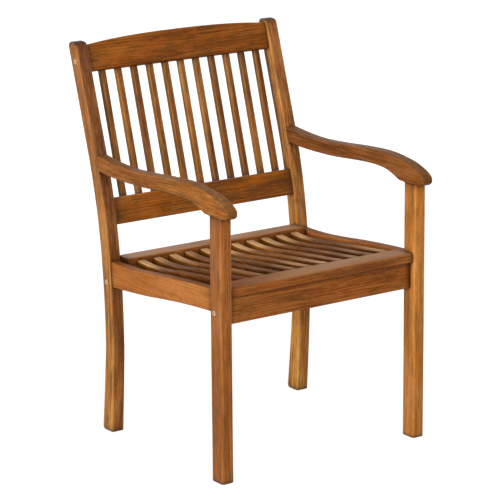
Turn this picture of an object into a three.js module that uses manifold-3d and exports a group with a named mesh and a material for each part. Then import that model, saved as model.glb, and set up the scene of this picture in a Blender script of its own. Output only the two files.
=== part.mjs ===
// Slat-backed garden armchair of oiled hardwood, millimetres, +Z up.
// X runs across the chair, the front faces -Y and the feet stand on Z = 0.
// Left and right are as seen by someone who stands in front of the chair.
// Y = 0 is the front face of the front legs until the last lines, which put
// the origin under the middle of the whole chair.

import * as THREE from 'three';
import { mergeVertices } from 'three/addons/utils/BufferGeometryUtils.js';
import Module from 'manifold-3d';

const wasm = await Module();
wasm.setup();

// Main sizes
const OVERALL_WIDTH = 560;
const LEG_TOP_HEIGHT = 892;
const SEAT_HEIGHT = 436;
const ARM_HEIGHT = 648;
const LEG_SPAN = 433.5;

// Fits
const FACE_GAP = 0.3;
const TENON_CLEARANCE = 0.3;
const HOLE_CLEARANCE = 0.3;
const CUT_OVERRUN = 3;

// Legs
const LEG_WIDTH = 32;
const FRONT_LEG_EDGE_RADIUS = 7;
const BACK_LEG_EDGE_RADIUS = 4.5;
const FOOT_EDGE_RADIUS = 3;
const BACK_FOOT_HEEL_RADIUS = 9;
const FRONT_LEG_DEPTH = 42;
const BACK_LEG_DEPTH = 35;
const BACK_FOOT_DEPTH = 43;
const BACK_LEG_FRONT_TOP_RADIUS = 12;
const BACK_LEG_REAR_TOP_RADIUS = 14;

// Back leg curve: upright at the waist, swept back below it and raked above
const WAIST_HEIGHT = 205;
const FOOT_SWEEP = 16;
const FOOT_SWEEP_POWER = 1.2;
const BEND_TOP_HEIGHT = 650;
const BEND_POWER = 2.36;
const RAKE_SLOPE = 0.31;

// Armrests
const ARM_CROWN_RISE = 56;
const ARM_WIDTH = 29;
const ARM_THICKNESS = 30;
const ARM_EDGE_RADIUS = 5;
const ARM_JOINT_EDGE_RADIUS = 0.6;
const NOSE_OVERHANG = 25;
const NOSE_ROUND = 13;
const ARM_TENON_WIDTH = 10;
const ARM_TENON_HEIGHT = 16;
const ARM_TENON_LENGTH = 16;
const LEG_TENON_WIDTH = 12;
const LEG_TENON_DEPTH = 24;
const LEG_TENON_HEIGHT = 18;

// Seat side rails
const SIDE_RAIL_THICKNESS = 22;
const SIDE_RAIL_SETBACK = 4;
const SIDE_RAIL_HEIGHT = 53.5;
const SIDE_RAIL_EDGE_RADIUS = 4;
const SIDE_TENON_THICKNESS = 8;
const SIDE_TENON_HEIGHT = 30;
const SIDE_TENON_LENGTH = 14;
const SIDE_TENON_TOP_DROP = 11;

// Front and rear rails under the seat
const FRONT_RAIL_SETBACK = 15;
const SEAT_RAIL_THICKNESS = 22;
const FRONT_RAIL_HEIGHT = 61;
const REAR_RAIL_HEIGHT = 61;
const FRONT_BOLT_DROP = 1.5;
const REAR_BOLT_DROP = 6;
const REAR_RAIL_INSET = 9;
const SEAT_RAIL_EDGE_RADIUS = 3;

// Seat panel: two boards joined by dished slats
const BOARD_THICKNESS = 22;
const FRONT_BOARD_SETBACK = 4.5;
const FRONT_BOARD_DEPTH = 53.5;
const FRONT_BOARD_NOSE_RADIUS = 6;
const REAR_BOARD_DEPTH = 44;
const REAR_BOARD_OVERLAP = 9.5;
const BOARD_EDGE_RADIUS = 3;
const SEAT_FALL = 31;
const REAR_BOARD_DROP = 20.5;
const SLAT_COUNT = 11;
const SLAT_END_MARGIN = 34;
const SEAT_SLAT_WIDTH = 22;
const SEAT_SLAT_THICKNESS = 14;
const SEAT_SLAT_EDGE_RADIUS = 4.5;
const SEAT_TENON_WIDTH = 16;
const SEAT_TENON_THICKNESS = 7;
const SEAT_TENON_LENGTH = 12;

// Back panel: crest rail, lower rail and straight slats between them
const BACK_RAIL_THICKNESS = 22;
const CREST_BOTTOM_DROP = 71.5;
const CREST_END_HEIGHT = 62;
const CREST_RISE = 12;
const CREST_ARCH_POWER = 2.6;
const CREST_LOWER_FRONT_RADIUS = 9;
const CREST_BOLT_DROP = 4;
const BACK_RAIL_EDGE_RADIUS = 3;
const LOWER_RAIL_HEIGHT = 62;
const LOWER_RAIL_RISE = 78;
const LOWER_RAIL_TOP_RADIUS = 5;
const BACK_SLAT_WIDTH = 14.5;
const BACK_SLAT_THICKNESS = 14;
const BACK_SLAT_EDGE_RADIUS = 2.5;
const BACK_SLAT_HOUSING = 15;
const PANEL_SETBACK_SHIFT = -0.5;
const LOWER_TENON_THICKNESS = 8;
const LOWER_TENON_HEIGHT = 38;
const LOWER_TENON_LENGTH = 14;

// Bolts, barrel nuts and dowels at the three bolted rails
const BOLT_SHANK_DIAMETER = 6;
const BOLT_HEAD_DIAMETER = 13;
const BOLT_HEAD_HEIGHT = 5;
const BOLT_HEAD_CHAMFER = 0.6;
const BOLT_HEAD_RECESS = 0.2;
const COUNTERBORE_CLEARANCE = 0.6;
const BOLT_END_BEYOND_NUT = 8;
const SOCKET_ACROSS_CORNERS = 4.62;
const SOCKET_DEPTH = 3;
const NUT_DIAMETER = 10;
const NUT_LENGTH = 14;
const NUT_FROM_RAIL_END = 30;
const NUT_SLOT_WIDTH = 1.6;
const NUT_SLOT_DEPTH = 1.5;
const DOWEL_DIAMETER = 8;
const DOWEL_LENGTH = 30;
const DOWEL_CHAMFER = 1;
const DOWEL_DROP = 14;

// Facet counts
const CORNER_STEPS = 2;
const SMALL_CORNER_STEPS = 1;
const ROUND_SIDES = 16;
const FOOT_STEPS = 3;
const HEEL_STEPS = 6;
const LEG_TOP_STEPS = 4;
const LEG_STEPS = 18;
const SCRIBE_STEPS = 48;
const NOSE_STEPS = 4;
const ARM_STEPS = 20;
const SIDE_RAIL_STEPS = 20;
const SEAT_SLAT_STEPS = 12;
const CREST_STEPS = 16;
const SOCKET_SIDES = 6;

// Largest corner radius, as a share of a section's side
const ROUNDEST_SHARE = 0.497;

// Crest of the armrest: shares of the arm's reach, and of its thickness as a drop below the crown
const ARM_TOP_SHARES = [
  [-0.052, 1.45], [-0.048, 1.24], [-0.036, 1.04], [-0.012, 0.8], [0.025, 0.56], [0.070, 0.34],
  [0.125, 0.19], [0.200, 0.04], [0.290, 0], [0.430, 0.11], [0.590, 0.31], [0.740, 0.42],
  [0.870, 0.34], [1, 0.11], [1.060, 0],
];

// Underside of the armrest behind the front leg, in the same shares
const ARM_UNDER_SHARES = [
  [0.086, 2], [0.120, 1.88], [0.160, 1.62], [0.200, 1.38], [0.245, 1.22], [0.310, 1.15],
  [0.400, 1.18], [0.500, 1.29], [0.620, 1.43], [0.750, 1.48], [0.880, 1.45], [1, 1.32], [1.060, 1.24],
];

// Top of a seat side rail: shares of its length, and of the seat's fall as a drop below the seat height
const SIDE_RAIL_TOP_SHARES = [
  [-0.05, 0.11], [0, 0.13], [0.15, 0.22], [0.30, 0.35], [0.47, 0.54], [0.62, 0.74],
  [0.76, 0.88], [0.88, 0.93], [1, 0.92], [1.08, 0.88],
];

// Height of a seat side rail along its length, as shares of its named height
const SIDE_RAIL_HEIGHT_SHARES = [
  [-0.05, 0.96], [0, 0.96], [0.3, 0.98], [0.55, 1.01], [0.8, 1.04], [1, 1.12], [1.08, 1.17],
];

// Top of a seat slat between the two boards, in shares of its length and of the seat's fall
const SEAT_SLAT_TOP_SHARES = [
  [-0.06, 0.02], [0, 0.03], [0.14, 0.2], [0.33, 0.4], [0.52, 0.62], [0.70, 0.87],
  [0.84, 0.98], [0.93, 0.95], [1, 0.87], [1.06, 0.8],
];

// Lines worked out from the sizes above
const frontLegHeight = ARM_HEIGHT - ARM_CROWN_RISE;
const crestBottomHeight = LEG_TOP_HEIGHT - CREST_BOTTOM_DROP;
const lowerRailCentreHeight = SEAT_HEIGHT + LOWER_RAIL_RISE;
const innerHalfWidth = OVERALL_WIDTH / 2 - LEG_WIDTH;
const legCentreX = OVERALL_WIDTH / 2 - LEG_WIDTH / 2;
const railHalfLength = innerHalfWidth - FACE_GAP;
const slatPitch = (2 * (innerHalfWidth - SLAT_END_MARGIN)) / (SLAT_COUNT - 1);

/** Value of a smooth curve through a table of [place, value] pairs. */
function curveThrough(table, place) {
  const last = table.length - 1;
  let i = 0;
  while (i < last - 1 && place > table[i + 1][0]) {
    i += 1;
  }
  const slopeAt = (k) => {
    const before = table[Math.max(k - 1, 0)];
    const after = table[Math.min(k + 1, last)];
    return (after[1] - before[1]) / (after[0] - before[0]);
  };
  const [x0, y0] = table[i];
  const [x1, y1] = table[i + 1];
  const span = x1 - x0;
  const t = (place - x0) / span;
  const t2 = t * t;
  const t3 = t2 * t;
  const start = (2 * t3 - 3 * t2 + 1) * y0 + (t3 - 2 * t2 + t) * span * slopeAt(i);
  const end = (3 * t2 - 2 * t3) * y1 + (t3 - t2) * span * slopeAt(i + 1);
  return start + end;
}

/** Numbers spaced evenly from one end to the other. */
function evenly(from, to, count) {
  return Array.from({ length: count + 1 }, (_, i) => from + ((to - from) * i) / count);
}

/** How far a quarter-round end draws in at a height below its top. */
function roundInset(radius, distanceFromEnd) {
  const rest = Math.max(radius - distanceFromEnd, 0);
  return radius - Math.sqrt(Math.max(radius * radius - rest * rest, 0));
}

/** One radius for all four corners of a section. */
function allCorners(radius) {
  return [radius, radius, radius, radius];
}

/** Corner points of a rounded rectangle, anticlockwise in its own plane. */
function roundedRectangle({ u0, u1, v0, v1, radii, steps }) {
  const corners = [
    [u1, v1, -1, -1, 0],
    [u0, v1, 1, -1, 1],
    [u0, v0, 1, 1, 2],
    [u1, v0, -1, 1, 3],
  ];
  const points = [];
  corners.forEach(([u, v, su, sv, quarter], k) => {
    const radius = Math.min(radii[k], (u1 - u0) * ROUNDEST_SHARE, (v1 - v0) * ROUNDEST_SHARE);
    for (let i = 0; i <= steps; i += 1) {
      const angle = (Math.PI / 2) * (quarter + i / steps);
      points.push([u + su * radius + radius * Math.cos(angle), v + sv * radius + radius * Math.sin(angle)]);
    }
  });
  return points;
}

/** Puts a section's points at a place along an axis, so that they run anticlockwise seen from its far end. */
function placeSection(axis, place, points) {
  if (axis === 'x') {
    return points.map(([u, v]) => [place, u, v]);
  }
  if (axis === 'y') {
    return points.map(([u, v]) => [v, place, u]);
  }
  return points.map(([u, v]) => [u, v, place]);
}

/** Closed body through sections that all have the same number of points. */
function loft(sections) {
  const count = sections[0].length;
  const last = (sections.length - 1) * count;
  const index = [];
  for (let s = 0; s < sections.length - 1; s += 1) {
    for (let k = 0; k < count; k += 1) {
      const a = s * count + k;
      const b = s * count + ((k + 1) % count);
      index.push(a, b, b + count, a, b + count, a + count);
    }
  }
  for (let k = 1; k < count - 1; k += 1) {
    index.push(0, k + 1, k);
    index.push(last, last + k, last + k + 1);
  }
  const geometry = new THREE.BufferGeometry();
  geometry.setAttribute('position', new THREE.Float32BufferAttribute(sections.flat(2), 3));
  geometry.setIndex(index);
  geometry.computeVertexNormals();
  return geometry;
}

/** Closed body along an axis, from rounded rectangles that a function gives for each place. */
function loftAlong(axis, places, limitsAt) {
  return loft(places.map((place) => placeSection(axis, place, roundedRectangle(limitsAt(place)))));
}

/** Straight bar with a rounded rectangular section, extruded across the chair. */
function crossBar({ front, rear, bottom, top, radii, steps }) {
  const outline = roundedRectangle({ u0: front, u1: rear, v0: bottom, v1: top, radii, steps });
  const shape = new THREE.Shape(outline.map(([u, v]) => new THREE.Vector2(u, v)));
  const bar = new THREE.ExtrudeGeometry(shape, { depth: 2 * railHalfLength, bevelEnabled: false, steps: 1 });
  bar.translate(0, 0, -railHalfLength);
  const across = new THREE.Matrix4().makeBasis(
    new THREE.Vector3(0, 1, 0),
    new THREE.Vector3(0, 0, 1),
    new THREE.Vector3(1, 0, 0),
  );
  return bar.applyMatrix4(across);
}

/** Plain block between two opposite corners. */
function block([x0, y0, z0], [x1, y1, z1]) {
  const box = new THREE.BoxGeometry(Math.abs(x1 - x0), Math.abs(y1 - y0), Math.abs(z1 - z0));
  return box.translate((x0 + x1) / 2, (y0 + y1) / 2, (z0 + z1) / 2);
}

/** Round rod along X or Y, from one end to the other. */
function rod(axis, from, to, diameter, [a, b]) {
  const geometry = new THREE.CylinderGeometry(diameter / 2, diameter / 2, Math.abs(to - from), ROUND_SIDES);
  if (axis === 'x') {
    return geometry.rotateZ(-Math.PI / 2).translate((from + to) / 2, a, b);
  }
  return geometry.translate(a, (from + to) / 2, b);
}

/** Boolean solid of a closed geometry. */
function solidOf(geometry) {
  const bare = geometry.clone();
  bare.deleteAttribute('normal');
  bare.deleteAttribute('uv');
  const merged = mergeVertices(bare);
  const vertProperties = new Float32Array(merged.attributes.position.array);
  const triVerts = new Uint32Array(merged.index.array);
  return new wasm.Manifold(new wasm.Mesh({ numProp: 3, vertProperties, triVerts }));
}

/** Geometry of a boolean solid. */
function geometryOf(solid) {
  const mesh = solid.getMesh();
  const geometry = new THREE.BufferGeometry();
  geometry.setAttribute('position', new THREE.Float32BufferAttribute(mesh.vertProperties, 3));
  geometry.setIndex(new THREE.Uint32BufferAttribute(mesh.triVerts, 1));
  geometry.computeVertexNormals();
  return geometry;
}

/** A body with others added to it and then others cut from it. */
function shaped(body, { add = [], cut = [] }) {
  let solid = solidOf(body);
  add.forEach((piece) => {
    solid = solid.add(solidOf(piece));
  });
  cut.forEach((piece) => {
    solid = solid.subtract(solidOf(piece));
  });
  return geometryOf(solid);
}

// Back leg line
const bendRun = BEND_TOP_HEIGHT - WAIST_HEIGHT;
const waistCentreY = LEG_SPAN + BACK_LEG_DEPTH / 2;
const bendReach = (RAKE_SLOPE * bendRun) / BEND_POWER;

/** Middle of the back leg from front to rear at a height. */
function backLegCentre(z) {
  if (z < WAIST_HEIGHT) {
    return waistCentreY + FOOT_SWEEP * ((WAIST_HEIGHT - z) / WAIST_HEIGHT) ** FOOT_SWEEP_POWER;
  }
  if (z < BEND_TOP_HEIGHT) {
    return waistCentreY + bendReach * ((z - WAIST_HEIGHT) / bendRun) ** BEND_POWER;
  }
  return waistCentreY + bendReach + RAKE_SLOPE * (z - BEND_TOP_HEIGHT);
}

/** Front-to-rear size of the back leg at a height. */
function backLegDepth(z) {
  const share = Math.max(WAIST_HEIGHT - z, 0) / WAIST_HEIGHT;
  return BACK_LEG_DEPTH + (BACK_FOOT_DEPTH - BACK_LEG_DEPTH) * share;
}

/** Front face of the back leg at a height. */
function backLegFront(z) {
  return backLegCentre(z) - backLegDepth(z) / 2;
}

// Side rail and armrest curves, which end on the back leg's front face
const sideRailStart = FRONT_LEG_DEPTH;
const sideRailEnd = backLegFront(SEAT_HEIGHT - SEAT_FALL);
const sideRailX = OVERALL_WIDTH / 2 - SIDE_RAIL_SETBACK - SIDE_RAIL_THICKNESS / 2;
const armReach = backLegFront(ARM_HEIGHT - ARM_THICKNESS / 2);

/** Top of a seat side rail at a distance from the front. */
function sideRailTop(y) {
  const share = (y - sideRailStart) / (sideRailEnd - sideRailStart);
  return SEAT_HEIGHT - SEAT_FALL * curveThrough(SIDE_RAIL_TOP_SHARES, share);
}

/** Underside of a seat side rail at a distance from the front. */
function sideRailBottom(y) {
  const share = (y - sideRailStart) / (sideRailEnd - sideRailStart);
  return sideRailTop(y) - SIDE_RAIL_HEIGHT * curveThrough(SIDE_RAIL_HEIGHT_SHARES, share);
}

/** Top of an armrest at a distance from the front. */
function armTop(y) {
  return ARM_HEIGHT - ARM_THICKNESS * curveThrough(ARM_TOP_SHARES, y / armReach);
}

/** Underside of an armrest, flat where it sits on the front leg and rounded up under the nose. */
function armBottom(y) {
  if (y > FRONT_LEG_DEPTH) {
    const under = ARM_HEIGHT - ARM_THICKNESS * curveThrough(ARM_UNDER_SHARES, y / armReach);
    return Math.max(under, frontLegHeight + FACE_GAP);
  }
  const seat = frontLegHeight + FACE_GAP;
  return seat + roundInset(NOSE_ROUND, y + NOSE_OVERHANG);
}

// Back panel frame: a straight line through the back legs at the two rails' heights
const crestCentreHeight = crestBottomHeight + CREST_END_HEIGHT / 2;
const panelRise = crestCentreHeight - lowerRailCentreHeight;
const panelRun = backLegCentre(crestCentreHeight) - backLegCentre(lowerRailCentreHeight);
const panelAngle = Math.atan2(panelRun, panelRise);
const panelLength = Math.hypot(panelRun, panelRise);
const crestBottom = panelLength - CREST_END_HEIGHT / 2;
const lowerRailTop = LOWER_RAIL_HEIGHT / 2;

const backPanel = new THREE.Group();
backPanel.position.set(
  0,
  backLegCentre(lowerRailCentreHeight) + PANEL_SETBACK_SHIFT,
  lowerRailCentreHeight,
);
backPanel.rotation.x = -panelAngle;
backPanel.updateMatrixWorld(true);

/** Top edge of the crest rail above its straight lower edge, at a distance across the chair. */
function crestTop(x) {
  const share = Math.abs(x) / innerHalfWidth;
  return crestBottom + CREST_END_HEIGHT + CREST_RISE * (1 - share ** CREST_ARCH_POWER);
}

// Places of the bolts, dowels and rails in Y and Z
const frontRailTop = SEAT_HEIGHT - BOARD_THICKNESS - FACE_GAP;
const frontRailBottom = frontRailTop - FRONT_RAIL_HEIGHT;
const frontRailCentreY = FRONT_RAIL_SETBACK + SEAT_RAIL_THICKNESS / 2;
const rearBoardTop = SEAT_HEIGHT - REAR_BOARD_DROP;
const rearBoardBottom = rearBoardTop - BOARD_THICKNESS;
const rearRailTop = rearBoardBottom - FACE_GAP;
const rearRailBottom = rearRailTop - REAR_RAIL_HEIGHT;
const rearRailFront = backLegFront((rearRailTop + rearRailBottom) / 2) + REAR_RAIL_INSET;
const rearRailCentreY = rearRailFront + SEAT_RAIL_THICKNESS / 2;
const frontBoardRear = FRONT_BOARD_SETBACK + FRONT_BOARD_DEPTH;
const rearBoardRear = rearRailFront + REAR_BOARD_OVERLAP;
const rearBoardFront = rearBoardRear - REAR_BOARD_DEPTH;

const frontBoltPlace = [frontRailCentreY, (frontRailTop + frontRailBottom) / 2 - FRONT_BOLT_DROP];
const rearBoltPlace = [rearRailCentreY, (rearRailTop + rearRailBottom) / 2 - REAR_BOLT_DROP];
const crestBoltPlace = [0, panelLength - CREST_BOLT_DROP];

/** Top of a seat slat at a distance from the front. */
function seatSlatTop(y) {
  const share = (y - frontBoardRear) / (rearBoardFront - frontBoardRear);
  return SEAT_HEIGHT - SEAT_FALL * curveThrough(SEAT_SLAT_TOP_SHARES, share);
}

/** Across-the-chair place of a slat, counted from the left. */
function slatX(i) {
  return (i - (SLAT_COUNT - 1) / 2) * slatPitch;
}

/** Hole for a bolt with its head let into the outer face, at a place in the rail's own frame. */
function boltHole(side, [y, z]) {
  const outer = side * (OVERALL_WIDTH / 2 + CUT_OVERRUN);
  const shoulder = side * (OVERALL_WIDTH / 2 - BOLT_HEAD_RECESS - BOLT_HEAD_HEIGHT - HOLE_CLEARANCE);
  const end = side * (railHalfLength - NUT_FROM_RAIL_END - BOLT_END_BEYOND_NUT - HOLE_CLEARANCE);
  return [
    rod('x', shoulder, outer, BOLT_HEAD_DIAMETER + 2 * COUNTERBORE_CLEARANCE, [y, z]),
    rod('x', end, outer, BOLT_SHANK_DIAMETER + 2 * HOLE_CLEARANCE, [y, z]),
  ];
}

/** Hole for a dowel that crosses from a rail's end into the leg. */
function dowelHole(side, [y, z]) {
  const middle = side * innerHalfWidth;
  const reach = DOWEL_LENGTH / 2 + HOLE_CLEARANCE;
  return rod('x', middle - reach, middle + reach, DOWEL_DIAMETER + 2 * HOLE_CLEARANCE, [y, z - DOWEL_DROP]);
}

/** Hole for a barrel nut, open on one face of its rail. */
function nutHole(side, [y, z], openFace) {
  const x = side * (railHalfLength - NUT_FROM_RAIL_END);
  const blindEnd = y - Math.sign(openFace - y) * (NUT_LENGTH / 2 + HOLE_CLEARANCE);
  const mouth = openFace + Math.sign(openFace - y) * CUT_OVERRUN;
  return rod('y', blindEnd, mouth, NUT_DIAMETER + 2 * HOLE_CLEARANCE, [x, z]);
}

/** Every cut that a bolted rail needs at its two ends. */
function boltedRailCuts(place, openFace) {
  return [-1, 1].flatMap((side) => [
    ...boltHole(side, place),
    dowelHole(side, place),
    nutHole(side, place, openFace),
  ]);
}

/** Cutters moved from the back panel's frame to the chair's. */
function fromPanel(cutters) {
  return cutters.map((cutter) => cutter.applyMatrix4(backPanel.matrixWorld));
}

/** Limits of a tenon and, with a clearance round it, of its mortise. */
function tenonBlock(centre, size, clearance) {
  const low = centre.map((value, k) => value - size[k] / 2 - clearance);
  const high = centre.map((value, k) => value + size[k] / 2 + clearance);
  return block(low, high);
}

/** Tenon at the rear end of a side rail, or its mortise. */
function sideRailRearTenon(side, clearance) {
  const top = sideRailTop(sideRailEnd) - SIDE_TENON_TOP_DROP;
  const z = top - SIDE_TENON_HEIGHT / 2;
  const size = [SIDE_TENON_THICKNESS, 2 * SIDE_TENON_LENGTH, SIDE_TENON_HEIGHT];
  return tenonBlock([side * sideRailX, backLegFront(z), z], size, clearance);
}

/** Tenon at the front end of a side rail, or its mortise. */
function sideRailFrontTenon(side, clearance) {
  const top = sideRailTop(sideRailStart) - SIDE_TENON_TOP_DROP;
  const z = top - SIDE_TENON_HEIGHT / 2;
  const size = [SIDE_TENON_THICKNESS, 2 * SIDE_TENON_LENGTH, SIDE_TENON_HEIGHT];
  return tenonBlock([side * sideRailX, sideRailStart, z], size, clearance);
}

/** Tenon at the rear end of an armrest, or its mortise. */
function armRearTenon(side, clearance) {
  const z = (armTop(armReach) + armBottom(armReach)) / 2;
  const size = [ARM_TENON_WIDTH, 2 * ARM_TENON_LENGTH, ARM_TENON_HEIGHT];
  return tenonBlock([side * legCentreX, backLegFront(z), z], size, clearance);
}

/** Tenon on top of a front leg, or its mortise in the armrest. */
function frontLegTenon(side, clearance) {
  const size = [LEG_TENON_WIDTH, LEG_TENON_DEPTH, 2 * LEG_TENON_HEIGHT];
  return tenonBlock([side * legCentreX, FRONT_LEG_DEPTH / 2, frontLegHeight], size, clearance);
}

/** Tenon at one end of the lower back rail, or its mortise, in the back panel's frame. */
function lowerRailTenon(side, clearance) {
  const size = [2 * LOWER_TENON_LENGTH, LOWER_TENON_THICKNESS, LOWER_TENON_HEIGHT];
  return tenonBlock([side * innerHalfWidth, 0, 0], size, clearance);
}

/** Everything behind the back legs' front faces, used to scribe what butts on them. */
function behindBackLegs() {
  const heights = evenly(WAIST_HEIGHT, LEG_TOP_HEIGHT, SCRIBE_STEPS);
  const limits = (z) => ({
    u0: -OVERALL_WIDTH,
    u1: OVERALL_WIDTH,
    v0: backLegFront(z) - FACE_GAP,
    v1: backLegFront(z) + LEG_SPAN,
    radii: allCorners(FACE_GAP),
    steps: SMALL_CORNER_STEPS,
  });
  return loftAlong('z', heights, limits);
}

/** Curved back leg with its mortises and holes. */
function backLeg(side) {
  const footHeights = evenly(0, 1, HEEL_STEPS).map((share) => BACK_FOOT_HEEL_RADIUS * share * share);
  const topRadius = Math.max(BACK_LEG_FRONT_TOP_RADIUS, BACK_LEG_REAR_TOP_RADIUS);
  const topSteps = evenly(1, 0, LEG_TOP_STEPS).map((share) => LEG_TOP_HEIGHT - topRadius * share * share);
  const middle = evenly(BACK_FOOT_HEEL_RADIUS, LEG_TOP_HEIGHT - topRadius, LEG_STEPS).slice(1, -1);
  const outline = (z) => {
    const below = LEG_TOP_HEIGHT - z;
    const foot = roundInset(FOOT_EDGE_RADIUS, z);
    const across = Math.max(foot, roundInset(BACK_LEG_EDGE_RADIUS, below));
    const front = Math.max(foot, roundInset(BACK_LEG_FRONT_TOP_RADIUS, below));
    const heel = roundInset(BACK_FOOT_HEEL_RADIUS, z);
    const rear = Math.max(heel, roundInset(BACK_LEG_REAR_TOP_RADIUS, below));
    const corner = Math.max(BACK_LEG_EDGE_RADIUS - across / 2, BACK_LEG_EDGE_RADIUS / 2);
    return {
      u0: side * legCentreX - LEG_WIDTH / 2 + across,
      u1: side * legCentreX + LEG_WIDTH / 2 - across,
      v0: backLegFront(z) + front,
      v1: backLegFront(z) + backLegDepth(z) - rear,
      radii: allCorners(corner),
      steps: CORNER_STEPS,
    };
  };
  const body = loftAlong('z', [...footHeights, ...middle, ...topSteps], outline);
  const cut = [
    sideRailRearTenon(side, TENON_CLEARANCE),
    armRearTenon(side, TENON_CLEARANCE),
    ...boltHole(side, rearBoltPlace),
    dowelHole(side, rearBoltPlace),
    ...fromPanel([
      lowerRailTenon(side, TENON_CLEARANCE),
      ...boltHole(side, crestBoltPlace),
      dowelHole(side, crestBoltPlace),
    ]),
  ];
  return shaped(body, { cut });
}

/** Straight front leg with a tenon on top for the armrest. */
function frontLeg(side) {
  const footHeights = evenly(0, 1, FOOT_STEPS).map((share) => FOOT_EDGE_RADIUS * share);
  const body = loftAlong('z', [...footHeights, frontLegHeight], (z) => {
    const inset = roundInset(FOOT_EDGE_RADIUS, z);
    const corner = Math.max(FRONT_LEG_EDGE_RADIUS - inset / 2, FRONT_LEG_EDGE_RADIUS / 2);
    return {
      u0: side * legCentreX - LEG_WIDTH / 2 + inset,
      u1: side * legCentreX + LEG_WIDTH / 2 - inset,
      v0: inset,
      v1: FRONT_LEG_DEPTH - inset,
      radii: allCorners(corner),
      steps: CORNER_STEPS,
    };
  });
  const cut = [
    sideRailFrontTenon(side, TENON_CLEARANCE),
    ...boltHole(side, frontBoltPlace),
    dowelHole(side, frontBoltPlace),
  ];
  return shaped(body, { add: [frontLegTenon(side, 0)], cut });
}

/** Scrolled armrest, housed on the front leg and tenoned into the back leg. */
function armrest(side) {
  const noseEnd = -NOSE_OVERHANG;
  const nose = evenly(0, 1, NOSE_STEPS).map((share) => noseEnd + NOSE_ROUND * share * share);
  const seat = [0, 0.5, 1].map((share) => FRONT_LEG_DEPTH * share);
  const behind = evenly(FRONT_LEG_DEPTH, armReach + ARM_THICKNESS, ARM_STEPS).slice(1);
  const body = loftAlong('y', [...nose, ...seat, ...behind], (y) => {
    const onLeg = y >= 0 && y <= FRONT_LEG_DEPTH;
    const lower = onLeg ? ARM_JOINT_EDGE_RADIUS : ARM_EDGE_RADIUS;
    const inset = roundInset(ARM_EDGE_RADIUS, y + NOSE_OVERHANG);
    return {
      u0: armBottom(y),
      u1: armTop(y),
      v0: side * legCentreX - ARM_WIDTH / 2 + inset,
      v1: side * legCentreX + ARM_WIDTH / 2 - inset,
      radii: [ARM_EDGE_RADIUS, lower, lower, ARM_EDGE_RADIUS],
      steps: CORNER_STEPS,
    };
  });
  const trimmed = shaped(body, { cut: [behindBackLegs(), frontLegTenon(side, TENON_CLEARANCE)] });
  return shaped(trimmed, { add: [armRearTenon(side, 0)] });
}

/** Curved seat side rail with a tenon at each end. */
function sideRail(side) {
  const places = evenly(sideRailStart + FACE_GAP, sideRailEnd + SIDE_RAIL_THICKNESS, SIDE_RAIL_STEPS);
  const body = loftAlong('y', places, (y) => ({
    u0: sideRailBottom(y),
    u1: sideRailTop(y),
    v0: side * sideRailX - SIDE_RAIL_THICKNESS / 2,
    v1: side * sideRailX + SIDE_RAIL_THICKNESS / 2,
    radii: allCorners(SIDE_RAIL_EDGE_RADIUS),
    steps: CORNER_STEPS,
  }));
  const trimmed = shaped(body, { cut: [behindBackLegs()] });
  return shaped(trimmed, { add: [sideRailRearTenon(side, 0), sideRailFrontTenon(side, 0)] });
}

/** Rail under the front or rear seat board. */
function seatRail(front, bottom, top, place, openFace) {
  const radii = allCorners(SEAT_RAIL_EDGE_RADIUS);
  const bar = crossBar({ front, rear: front + SEAT_RAIL_THICKNESS, bottom, top, radii, steps: CORNER_STEPS });
  return shaped(bar, { cut: boltedRailCuts(place, openFace) });
}

/** Tenon at one end of a seat slat, or its mortise. */
function seatTenon(x, boardEdge, clearance) {
  const z = seatSlatTop(boardEdge) - SEAT_SLAT_THICKNESS / 2;
  const size = [SEAT_TENON_WIDTH, 2 * SEAT_TENON_LENGTH, SEAT_TENON_THICKNESS];
  return tenonBlock([x, boardEdge, z], size, clearance);
}

/** Seat board with a mortise for every slat. */
function seatBoard({ front, rear, bottom, top, radii, slatEdge }) {
  const bar = crossBar({ front, rear, bottom, top, radii, steps: CORNER_STEPS });
  const cut = Array.from({ length: SLAT_COUNT }, (_, i) => seatTenon(slatX(i), slatEdge, TENON_CLEARANCE));
  return shaped(bar, { cut });
}

/** Dished seat slat, modelled on the middle line of the chair. */
function seatSlat() {
  const places = evenly(frontBoardRear + FACE_GAP, rearBoardFront - FACE_GAP, SEAT_SLAT_STEPS);
  const body = loftAlong('y', places, (y) => ({
    u0: seatSlatTop(y) - SEAT_SLAT_THICKNESS,
    u1: seatSlatTop(y),
    v0: -SEAT_SLAT_WIDTH / 2,
    v1: SEAT_SLAT_WIDTH / 2,
    radii: allCorners(SEAT_SLAT_EDGE_RADIUS),
    steps: SMALL_CORNER_STEPS,
  }));
  return shaped(body, { add: [seatTenon(0, frontBoardRear, 0), seatTenon(0, rearBoardFront, 0)] });
}

/** Straight back slat in the back panel's frame, with a clearance when it is a housing. */
function backSlat(x, clearance) {
  const from = lowerRailTop - BACK_SLAT_HOUSING - clearance;
  const to = crestBottom + BACK_SLAT_HOUSING + clearance;
  return loftAlong('z', [from, to], () => ({
    u0: x - BACK_SLAT_WIDTH / 2 - clearance,
    u1: x + BACK_SLAT_WIDTH / 2 + clearance,
    v0: -BACK_SLAT_THICKNESS / 2 - clearance,
    v1: BACK_SLAT_THICKNESS / 2 + clearance,
    radii: allCorners(BACK_SLAT_EDGE_RADIUS),
    steps: SMALL_CORNER_STEPS,
  }));
}

/** Housings for all the back slats. */
function backSlatHousings() {
  return Array.from({ length: SLAT_COUNT }, (_, i) => backSlat(slatX(i), TENON_CLEARANCE));
}

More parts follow.
